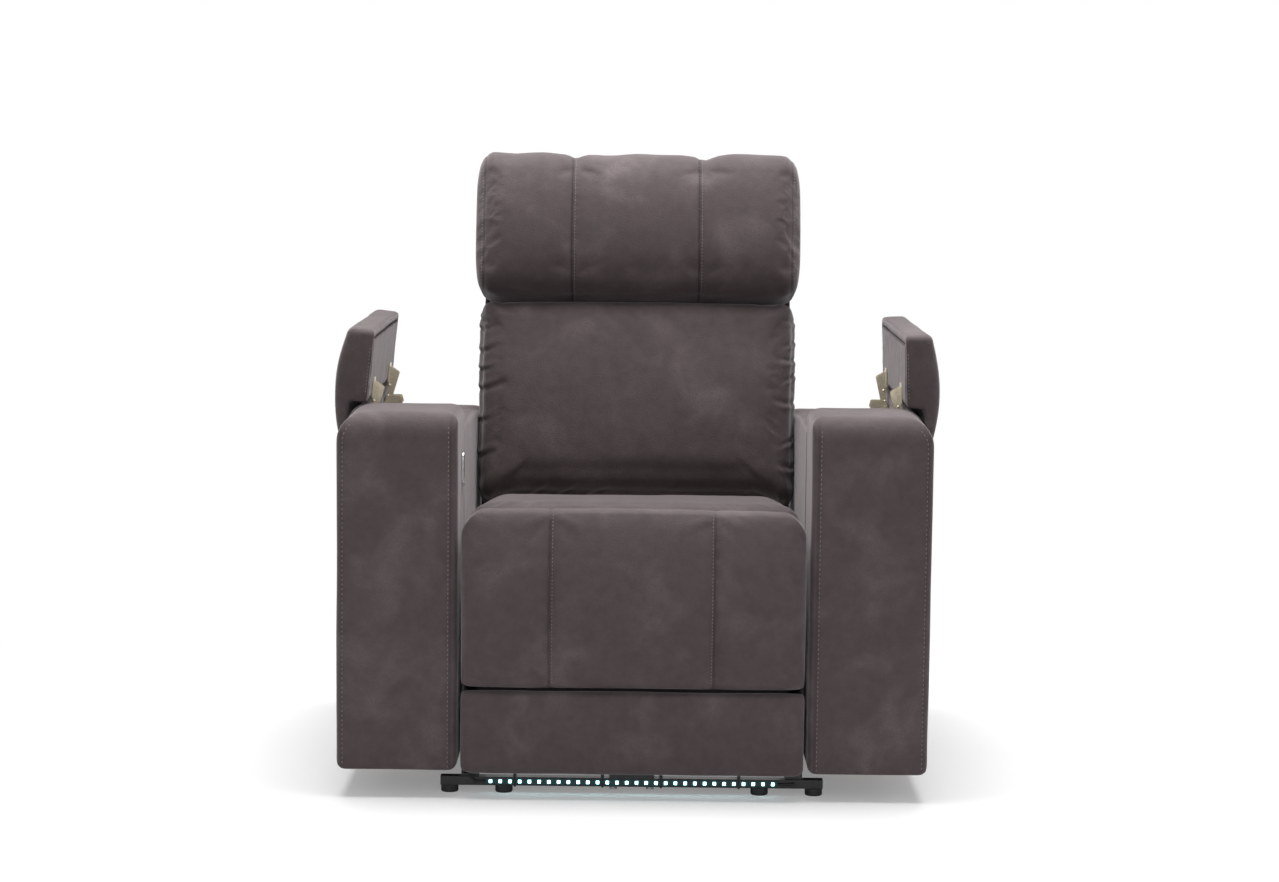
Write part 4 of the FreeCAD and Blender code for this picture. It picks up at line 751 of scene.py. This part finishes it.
class RECLINER_OT_arms(bpy.types.Operator):
    """Covers the front and rear blocks and the side panels of both arms"""

    bl_idname = "recliner.arms"
    bl_label = "Arms"

    nose_r = 0.042
    edge_r = 0.013
    shoulder_r = 0.050
    # Each seam lies a little outside its row of stitches, both measured from the side of the block.
    inner_stitch = 0.0165
    outer_stitch = 0.0115
    inner_seam = 0.0125
    outer_seam = 0.0085
    # How dark the painted shade along each seam is
    seam_shade = 0.4
    # The rows end this far below the top and above the foot.
    top_margin = 0.022
    foot_margin = 0.006

    def execute(self, context):
        for hand, panel_seed, block_seed in (("left", 3, 5), ("right", 4, 6)):
            self.front_block(hand, block_seed)
            for part in ("inner_panel", "outer_panel", "rear_block"):
                node_name = f"{hand}_arm_{part}"
                obj = cover_from(node_name, f"{hand}_{part}_cover", COVER_GRID, rounds=2)
                ripple(obj, size=0.16, seed=panel_seed, height=0.0010)
                dress(obj, "base", node_name)
        return {"FINISHED"}

    def front_block(self, hand, seed):
        node_name = f"{hand}_arm_front_block"
        side = arm_side(hand)
        low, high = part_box(node_name)

        def shape(co):
            face = (1, low.y, -1)
            round_off(co, face, (2, high.z, 1), radius=self.nose_r)
            round_off(co, face, (0, low.x, -1), radius=self.edge_r)
            round_off(co, face, (0, high.x, 1), radius=self.edge_r)

        obj = cover_from(node_name, f"{hand}_front_block_cover", FINE_GRID, rounds=3, shape=shape)
        inner, outer = (low.x, high.x) if side > 0 else (-high.x, -low.x)
        across = np.abs(points_of(obj)[:, 0])
        front = bend_between(-normals_of(obj)[:, 1], 0.3, 0.8)
        ripple(obj, size=0.14, seed=seed, height=0.0009)
        # The lines along both seams of the front are painted darker, as shade.
        painted_shade = np.zeros(len(across))
        for seam in (inner + self.inner_seam, outer - self.outer_seam):
            sunk = draw_in(obj, across - seam, front, depth=0.0014, width=0.004)
            painted_shade = np.maximum(painted_shade, sunk * self.seam_shade)
        set_mask(obj, "painted_shade", painted_shade)
        dress(obj, "base", node_name)
        self.stitches(hand, obj, inner, outer, low, high)

    def stitches(self, hand, obj, inner, outer, low, high):
        """A row round the outer shoulder and down the outer side, and one down the inner side."""
        side = arm_side(hand)
        start, foot = low.y - NEAR_AHEAD, low.z + self.foot_margin
        centre_x, centre_z = outer - self.shoulder_r, high.z - self.shoulder_r
        reach = self.shoulder_r - self.outer_stitch
        arc = []
        for degrees in range(40, 91, 5):
            turn = math.radians(degrees)
            arc.append((side * (centre_x + reach * math.sin(turn)), start, centre_z + reach * math.cos(turn)))
        outer_line = arc + column(side * (outer - self.outer_stitch), start, centre_z - WALK, foot)
        inner_line = column(side * (inner + self.inner_stitch), start, high.z - self.top_margin, foot)
        name = f"{hand}_front_block_stitches"
        sew(obj, name, "base", (outer_line, inner_line), settings().sewing.arm_pitch)


# The front faces and the pin of the two hinges of a lid, and rivets on their plates as width and height
HINGE_FRONTS = (-0.150, 0.170)
HINGE_X = 0.4665
HINGE_Z = 0.617
LEAF_RIVETS = ((0.4655, 0.6300), (0.4625, 0.6500), (0.4560, 0.6840))
BRACKET_RIVETS = ((0.4620, 0.6050), (0.4500, 0.6000), (0.4430, 0.5940))


class RECLINER_OT_lids(bpy.types.Operator):
    """Covers both arm lids, sews their front end seams and finishes their hinges"""

    bl_idname = "recliner.lids"
    bl_label = "Lids"

    # Gathers of the lining: radians per metre, how they wander, their height and how deep they lie
    gather_rate = 62
    gather_wander = 5.0
    gather_height = 0.0008
    gather_sink = 0.0006
    # Slice of the lining's front end that gives the seam its direction, and the seam's bare ends
    end_slice = 0.006
    end_margin = 0.012
    # Rivet heads are cast onto the plates from this far ahead, and flattened.
    rivet_ahead = 0.020
    rivet_r = 0.0027
    rivet_height = 0.6
    coils = 6
    coil_pitch = 0.0032
    coil_start = 0.0065
    coil_r = 0.0082
    wire_r = 0.0013

    def execute(self, context):
        for hand, seed in (("left", 8), ("right", 9)):
            body = f"{hand}_lid"
            pad = cover_from(f"{hand}_lid_pad", f"{hand}_lid_cover", FINE_GRID, rounds=2)
            ripple(pad, size=0.11, seed=seed, height=0.0012, sink=0.0010)
            dress(pad, body, f"{hand}_lid_pad")
            board = cover_from(f"{hand}_lid_board", f"{hand}_lid_lining", LINING_GRID, rounds=2)
            self.gather(board)
            dress(board, body, f"{hand}_lid_board")
            self.end_seam(hand, pad, board)
            self.rivets(hand, body, f"{hand}_lid_hinge_leaves", LEAF_RIVETS)
            self.rivets(hand, "base", "lid_hinge_brackets", BRACKET_RIVETS)
            self.springs(hand)
        return {"FINISHED"}

    def gather(self, board):
        """Uneven small folds across the lining."""
        co = points_of(board)
        folds = np.sin(co[:, 1] * self.gather_rate + field(co, 0.035, 11) * self.gather_wander)
        pull = folds * (0.5 + 0.5 * field(co, 0.06, 12)) * self.gather_height
        set_points(board, co + normals_of(board) * (pull - self.gather_sink)[:, None])

    def end_seam(self, hand, pad, board):
        """Stitches across the lid's front end, beside the lining."""
        co, full = points_of(board), points_of(pad)
        start = full[:, 1].min() - NEAR_AHEAD
        end = co[co[:, 1] < co[:, 1].min() + self.end_slice][:, [0, 2]]
        middle = end.mean(axis=0)
        along = np.linalg.svd(end - middle, full_matrices=False)[2][0]
        half = np.abs((end - middle) @ along).max() - self.end_margin
        out = np.array((-along[1], along[0]))
        out *= np.sign((full[:, [0, 2]].mean(axis=0) - middle) @ out)
        reach = ((end - middle) @ out).min() + settings().sewing.beside
        points = []
        for share in np.arange(-half, half, WALK):
            x, z = middle + along * share + out * reach
            points.append((x, start, z))
        sew(pad, f"{hand}_lid_stitches", f"{hand}_lid", [points])

    def rivets(self, hand, body, node_name, spots):
        """Rivet heads on the front faces of the hinge plates."""
        side = arm_side(hand)
        tree = surface(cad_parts[node_name])
        heads = []
        for front in HINGE_FRONTS:
            points = [(side * x, front - self.rivet_ahead, z) for x, z in spots]
            for place, _ in path_on(tree, points):
                bpy.ops.mesh.primitive_uv_sphere_add(
                    segments=12, ring_count=8, radius=self.rivet_r, location=place
                )
                heads.append(bpy.context.object)
                heads[-1].scale.y = self.rivet_height
        self.finish_metal(heads, f"{hand}_{body}_hinge_rivets", body, "Yellow zinc", "yellow_zinc")

    def springs(self, hand):
        """The close-wound return spring round each hinge pin."""
        coils = []
        for front in HINGE_FRONTS:
            for turn in range(self.coils):
                y = front + self.coil_start + self.coil_pitch * turn
                bpy.ops.mesh.primitive_torus_add(
                    location=(arm_side(hand) * HINGE_X, y, HINGE_Z), rotation=(math.pi / 2, 0, 0),
                    major_radius=self.coil_r, minor_radius=self.wire_r, major_segments=28, minor_segments=8,
                )
                coils.append(bpy.context.object)
        self.finish_metal(coils, f"{hand}_hinge_springs", "base", "Plain steel", "plain_steel")

    def finish_metal(self, objects, name, body, material, slot):
        pick(*objects)
        bpy.ops.object.join()
        obj = bpy.context.object
        obj.name = name
        settle(obj)
        smooth(obj)
        obj.data.materials.append(bpy.data.materials[material])
        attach(obj, body)


class RECLINER_OT_seat(bpy.types.Operator):
    """Makes the seat cushion"""

    bl_idname = "recliner.seat"
    bl_label = "Seat cushion"

    # The top falls to the rear by this angle; the sewn edge lies on the deck.
    fall = math.tan(math.radians(5.4))
    edge_r = 0.052
    foot = 0.012
    # How much darker the top is painted, as shade
    top_shade = 0.22

    def execute(self, context):
        low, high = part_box("seat_cushion")

        def shape(co):
            co[:, 2] += self.fall * co[:, 1]
            crest = co[:, 2].max()
            for side in (-1, 1):
                round_off(co, (0, side * high.x, side), (2, crest, 1), radius=self.edge_r)
            co[:, 2] -= self.fall * co[:, 1]

        def held(co):
            return co[:, 2] < low.z + self.foot

        obj = pad_from("seat_cushion", "seat_cushion_cover", held, give=0.005, shrink=0.007, shape=shape)
        top = bend_between(normals_of(obj)[:, 2], 0.2, 0.8)
        dimple(obj, top, wide=(0.15, 31, 0.0016), fine=(0.045, 32, 0.0005))
        # The top is painted darker, as shade.
        set_mask(obj, "painted_shade", top * self.top_shade)
        dress(obj, "seat", "seat_cushion")
        return {"FINISHED"}


# The leaning plane at the front of the back cushion: its foot and its lean
BACK_FOOT = np.array((0.0, 0.0786, 0.440))
BACK_LEAN = math.radians(15)
BACK_AXES = np.array((
    (1.0, 0.0, 0.0),
    (0.0, math.cos(BACK_LEAN), -math.sin(BACK_LEAN)),
    (0.0, math.sin(BACK_LEAN), math.cos(BACK_LEAN)),
))

# Folds of the back cushion in the front view: start at a seam, end, and half width
BACK_FOLDS = (
    ((-0.302, 0.776), (-0.262, 0.764), 0.0075),
    ((-0.303, 0.752), (-0.252, 0.768), 0.0070),
    ((-0.302, 0.709), (-0.240, 0.738), 0.0090),
    ((-0.302, 0.678), (-0.258, 0.690), 0.0070),
    ((-0.300, 0.640), (-0.225, 0.672), 0.0100),
    ((-0.298, 0.585), (-0.262, 0.600), 0.0080),
    ((-0.296, 0.520), (-0.240, 0.548), 0.0100),
    ((0.302, 0.770), (0.262, 0.782), 0.0070),
    ((0.302, 0.738), (0.262, 0.728), 0.0070),
    ((0.302, 0.700), (0.240, 0.716), 0.0090),
    ((0.302, 0.676), (0.262, 0.664), 0.0070),
    ((0.300, 0.622), (0.236, 0.640), 0.0100),
    ((0.298, 0.560), (0.258, 0.548), 0.0080),
    ((0.296, 0.505), (0.246, 0.522), 0.0100),
    ((-0.205, 0.438), (-0.130, 0.498), 0.0120),
    ((-0.158, 0.440), (-0.075, 0.492), 0.0110),
    ((-0.095, 0.446), (-0.030, 0.476), 0.0100),
    ((0.245, 0.446), (0.196, 0.478), 0.0110),
)


def to_back(co):
    """Points as width, depth behind the back cushion's front and height along the lean."""
    return (co - BACK_FOOT) @ BACK_AXES.T


def from_back(local):
    return local @ BACK_AXES + BACK_FOOT


class RECLINER_OT_back(bpy.types.Operator):
    """Makes the back cushion with its folded sides, and the cover behind it"""

    bl_idname = "recliner.back"
    bl_label = "Back"

    # Heights along the lean between which the cloth bends from the back to the headrest
    blend_start = 0.335
    blend_end = 0.388
    # How far the top is stretched up to the headrest, and how far the lower corners hang down
    stretch = 0.024
    hang = 0.018
    # How dark the painted shade in the hollows of the folds is
    fold_shade = 0.30

    def execute(self, context):
        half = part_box("back_cushion")[1].x

        def shape(co):
            local = to_back(co)
            foot, head = local[:, 2].min(), local[:, 2].max()
            square_up(local, (1, 0.002, -1), (2, head, 1), radius=0.036)
            for side in (-1, 1):
                square_up(local, (0, side * half, side), (2, foot, -1), radius=0.040)
                square_up(local, (0, side * half, side), (2, head, 1), radius=0.040)
            local[:, 2] += self.stretch * bend_between(local[:, 2], 0.290, 0.372)
            outer = bend_between(np.abs(local[:, 0]), 0.200, 0.280)
            local[:, 2] -= self.hang * outer * (1 - bend_between(local[:, 2], 0.030, 0.110))
            local[:, 0] *= 1.001 + 0.005 * bend_between(local[:, 2], 0.220, 0.290)
            co[:] = from_back(local)

        def held(co):
            depth = to_back(co)[:, 1]
            return depth > depth.max() - 0.010

        obj = pad_from("back_cushion", "back_cushion_cover", held, give=0.006, shrink=0.003, shape=shape)
        self.fold(obj)
        dress(obj, None, "back_cushion")
        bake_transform(obj)
        self.shell()
        return {"FINISHED"}

    def shell(self):
        """The padded outer cover, rounded at its top and at its rear edges."""

        def shape(co):
            local = to_back(co)
            half, head, rear = local[:, 0].max(), local[:, 2].max(), local[:, 1].max()
            for side in (-1, 1):
                round_off(local, (0, side * half, side), (2, head, 1), radius=0.034)
                round_off(local, (0, side * half, side), (1, rear, 1), radius=0.022)
            round_off(local, (2, head, 1), (1, rear, 1), radius=0.024)
            co[:] = from_back(local)

        cover = cover_from("back_outer_cover", "back_shell_cover", COVER_GRID, rounds=4, shape=shape)
        ripple(cover, size=0.2, seed=14, height=0.0012)
        dress(cover, "back", "back_outer_cover")

    def fold(self, obj):
        """Loose folds that run in from the side and bottom seams, with painted shade in their hollows, and a
        soft sag of the face.
        """
        depth = settings().padding.gather_depth
        co, normal = points_of(obj), normals_of(obj)
        push = np.zeros(len(co))
        for start, end, wide in BACK_FOLDS:
            push += crease_fold(co, start, end, wide)
        front = bend_between(-normal[:, 1], -0.5, 0.2)
        sag = field(co, 0.17, 17) * 0.0022 + field(co, 0.05, 18) * 0.0006
        set_points(obj, co + normal * ((push * depth + sag) * front)[:, None])
        set_mask(obj, "painted_shade", np.clip(-push, 0, 1) * front * self.fold_shade)


class RECLINER_OT_headrest(bpy.types.Operator):
    """Makes the headrest cushion with its two seams and end gussets"""

    bl_idname = "recliner.headrest"
    bl_label = "Headrest"

    # The cushion sits this much higher than its solid, and its top edge is slightly wavy.
    lift = 0.005
    wave_height = 0.0014
    seams = (-0.1225, 0.1145)
    # Distances of each gusset's seam and stitches from the end of the cushion
    gusset_seam = 0.0125
    gusset_stitch = 0.0085
    # How dark the painted shade along each gusset seam is
    gusset_shade = 0.6

    def execute(self, context):
        low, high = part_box("headrest_cushion")

        def shape(co):
            local = to_back(co)
            local[:, 2] += self.lift
            wave = np.sin(local[:, 0] * 38 + 0.8) + 0.7 * np.sin(local[:, 0] * 71 + 2.1)
            local[:, 2] += wave * self.wave_height * bend_between(local[:, 2], 0.560, 0.665)
            co[:] = from_back(local)

        def held(co):
            return co[:, 1] > np.percentile(co[:, 1], 97)

        obj = pad_from("headrest_cushion", "headrest_cover", held, give=0.007, shrink=0.0015, shape=shape)
        front = bend_between(-normals_of(obj)[:, 1], -0.5, 0.1)
        # The lines along the seams and the gusset seams are painted darker, as shade.
        painted_shade = np.zeros(len(front))
        for seam in self.seams:
            painted_shade = np.maximum(painted_shade, sink_seam(obj, seam, front))
        for side in (-1, 1):
            edge = side * (high.x - self.gusset_seam)
            sunk = draw_in(obj, points_of(obj)[:, 0] - edge, front, depth=0.0018, width=0.004)
            painted_shade = np.maximum(painted_shade, sunk * self.gusset_shade)
        set_mask(obj, "painted_shade", painted_shade)
        dress(obj, "headrest", "headrest_cushion")
        end = high.x - self.gusset_stitch
        places = (*(seam + settings().sewing.beside for seam in self.seams), -end, end)
        lines = [column(x, low.y - AHEAD, high.z - 0.004, low.z + 0.012) for x in places]
        sew(obj, "headrest_stitches", "headrest", lines)
        return {"FINISHED"}


class RECLINER_OT_footrest(bpy.types.Operator):
    """Makes the footrest pad with its two seams, and the panel below it"""

    bl_idname = "recliner.footrest"
    bl_label = "Footrest"

    seams = (-0.141, 0.137)
    seam_depth = 0.0022
    # How dark the painted shade along each seam is
    seam_shade = 0.5
    # The pad is held where it lies on its board, behind this depth.
    board_y = -0.412
    top_lift = 0.006

    def execute(self, context):
        low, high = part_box("footrest_pad")

        def shape(co):
            co[:, 2] += self.top_lift * bend_between(co[:, 2], 0.400, 0.490)
            top = co[:, 2].max()
            for side in (-1, 1):
                edge = (0, side * high.x, side)
                round_off(co, edge, (2, top, 1), radius=0.050)
                round_off(co, edge, (2, low.z, -1), radius=0.016)
                round_off(co, edge, (1, low.y + 0.012, -1), radius=0.026)

        def held(co):
            return co[:, 1] > self.board_y

        obj = pad_from("footrest_pad", "footrest_pad_cover", held, give=0.006, shrink=0.0015, shape=shape)
        normal = normals_of(obj)
        front = bend_between(-normal[:, 1] + 0.6 * normal[:, 2], -0.2, 0.3)
        dimple(obj, front, wide=(0.13, 33, 0.0016), fine=(0.04, 34, 0.0004))
        # The lines along both seams are painted darker, as shade.
        painted_shade = np.zeros(len(front))
        for seam in self.seams:
            sunk = sink_seam(obj, seam, front, self.seam_depth)
            painted_shade = np.maximum(painted_shade, sunk * self.seam_shade)
        set_mask(obj, "painted_shade", painted_shade)
        dress(obj, "footrest", "footrest_pad")
        places = [seam - math.copysign(settings().sewing.beside, seam) for seam in self.seams]
        lines = [column(x, low.y - AHEAD, high.z - 0.002, low.z + 0.010) for x in places]
        sew(obj, "footrest_stitches", "footrest", lines)
        panel = cover_from("footrest_lower_panel", "footrest_panel_cover", FINE_GRID, rounds=3)
        ripple(panel, size=0.13, seed=21, height=0.0010)
        dress(panel, "footrest", "footrest_lower_panel")
        return {"FINISHED"}


def seen_straight(tree):
    """The light path, and 1 for rays that come from the camera straight, mirrored or through glass."""
    path = node(tree, "ShaderNodeLightPath", (-1100, 400)).outputs
    first = arithmetic(tree, (-900, 400), "MAXIMUM", path["Is Camera Ray"], path["Is Glossy Ray"])
    return path, arithmetic(tree, (-700, 400), "MAXIMUM", first, path["Is Transmission Ray"])


def mix_shaders(tree, share, low, high, sink):
    both = node(tree, "ShaderNodeMixShader", (250, 0), {0: share, 1: low.outputs[0], 2: high.outputs[0]})
    set_inputs(tree, sink, {"Surface": both.outputs[0]})


class RECLINER_OT_studio(bpy.types.Operator):
    """Sets the floor, the lamps and the camera"""

    bl_idname = "recliner.studio"
    bl_label = "Studio"

    # The floor glows a little for the camera, and fades into the white room between these distances.
    floor_glow = 0.24
    floor_fade = (0.9, 1.7)

    def execute(self, context):
        self.floor()
        self.lamps()
        self.camera()
        return {"FINISHED"}

    def floor(self):
        bpy.ops.object.select_all(action="DESELECT")
        bpy.ops.mesh.primitive_plane_add(size=60, location=(0, 0, 0))
        obj = bpy.context.object
        obj.name = "floor"
        tree, shader = new_material("Floor")
        tint = (*settings().studio.floor, 1.0)
        set_inputs(tree, shader, {"Base Color": tint, "Roughness": 0.9, "Specular IOR Level": 0.1})
        path, background = seen_straight(tree)
        seen = arithmetic(tree, (-600, -200), "MULTIPLY", path["Is Camera Ray"], self.floor_glow)
        lift = node(tree, "ShaderNodeEmission", (-200, -200), {"Strength": seen})
        near = node(tree, "ShaderNodeAddShader", (0, 0), {0: shader.outputs[0], 1: lift.outputs[0]})
        where = node(tree, "ShaderNodeTexCoord", (-900, 0)).outputs["Object"]
        away = node(tree, "ShaderNodeVectorMath", (-700, 0), {0: where}, operation="LENGTH")
        fade = remap(tree, (-500, 0), away.outputs["Value"], *self.floor_fade, kind="SMOOTHSTEP")
        share = arithmetic(tree, (-300, 200), "MULTIPLY", fade, background)
        white = node(tree, "ShaderNodeEmission", (0, -200))
        mix_shaders(tree, share, near, white, tree.nodes["Material Output"])
        obj.data.materials.append(bpy.data.materials["Floor"])

    def lamps(self):
        studio = settings().studio
        world = bpy.data.worlds.new("Room")
        world.use_nodes = True
        bpy.context.scene.world = world
        tree = world.node_tree
        light = tree.nodes["Background"]
        set_inputs(tree, light, {"Color": (1, 1, 1, 1), "Strength": studio.room})
        white = node(tree, "ShaderNodeBackground", (0, -200), {"Color": (1, 1, 1, 1)})
        mix_shaders(tree, seen_straight(tree)[1], light, white, tree.nodes["World Output"])
        for name, place, aim, size, power in (
            ("over_seat", (0.0, 0.1, 3.1), 0.5, 2.6, studio.key),
            ("in_front", (0.0, -4.6, 2.6), 0.55, 2.6, studio.front),
            ("left_side", (-3.0, 0.2, 1.5), 0.6, 1.8, studio.fill),
            ("right_side", (3.0, 0.2, 1.5), 0.6, 1.8, studio.fill),
        ):
            bpy.ops.object.light_add(type="AREA", location=place)
            obj = bpy.context.object
            obj.name = name
            obj.data.shape = "RECTANGLE"
            obj.data.size = obj.data.size_y = size
            obj.data.energy = power
            way = Vector((0, 0, aim)) - Vector(place)
            obj.rotation_mode = "QUATERNION"
            obj.rotation_quaternion = way.to_track_quat("-Z", "Y")

    def camera(self):
        studio = settings().studio
        bpy.ops.object.select_all(action="DESELECT")
        bpy.ops.object.camera_add(location=studio.place, rotation=studio.turn)
        obj = bpy.context.object
        obj.name = "camera"
        obj.data.sensor_width = 36
        obj.data.lens = studio.lens
        bpy.context.scene.camera = obj


class RECLINER_PT_panel(bpy.types.Panel):
    bl_label = "Cinema recliner"
    bl_idname = "RECLINER_PT_panel"
    bl_space_type = "VIEW_3D"
    bl_region_type = "UI"
    bl_category = "Recliner"

    def draw(self, context):
        for name, group in SETTINGS.items():
            box = self.layout.box()
            box.label(text=name.capitalize())
            for key in group.__annotations__:
                box.prop(getattr(context.scene, name), key)
        for operator in OPERATORS:
            self.layout.operator(operator.bl_idname)


SETTINGS = {
    "fabric": FabricLook,
    "sewing": SewingSizes,
    "padding": PaddingSizes,
    "metal": MetalLook,
    "glow": GlowLook,
    "studio": StudioSettings,
}
OPERATORS = (
    RECLINER_OT_finishes,
    RECLINER_OT_arms,
    RECLINER_OT_lids,
    RECLINER_OT_seat,
    RECLINER_OT_back,
    RECLINER_OT_headrest,
    RECLINER_OT_footrest,
    RECLINER_OT_studio,
)


def register():
    for cls in (*SETTINGS.values(), *OPERATORS, RECLINER_PT_panel):
        bpy.utils.register_class(cls)
    for name, group in SETTINGS.items():
        setattr(bpy.types.Scene, name, PointerProperty(type=group))


def unregister():
    for name in SETTINGS:
        delattr(bpy.types.Scene, name)
    for cls in reversed((*SETTINGS.values(), *OPERATORS, RECLINER_PT_panel)):
        bpy.utils.unregister_class(cls)


def main():
    register()
    bpy.ops.recliner.finishes()
    bpy.ops.recliner.arms()
    bpy.ops.recliner.lids()
    bpy.ops.recliner.seat()
    bpy.ops.recliner.back()
    bpy.ops.recliner.headrest()
    bpy.ops.recliner.footrest()
    bpy.ops.recliner.studio()
    bpy.context.scene.view_settings.view_transform = "Standard"


if __name__ == "__main__":
    main()
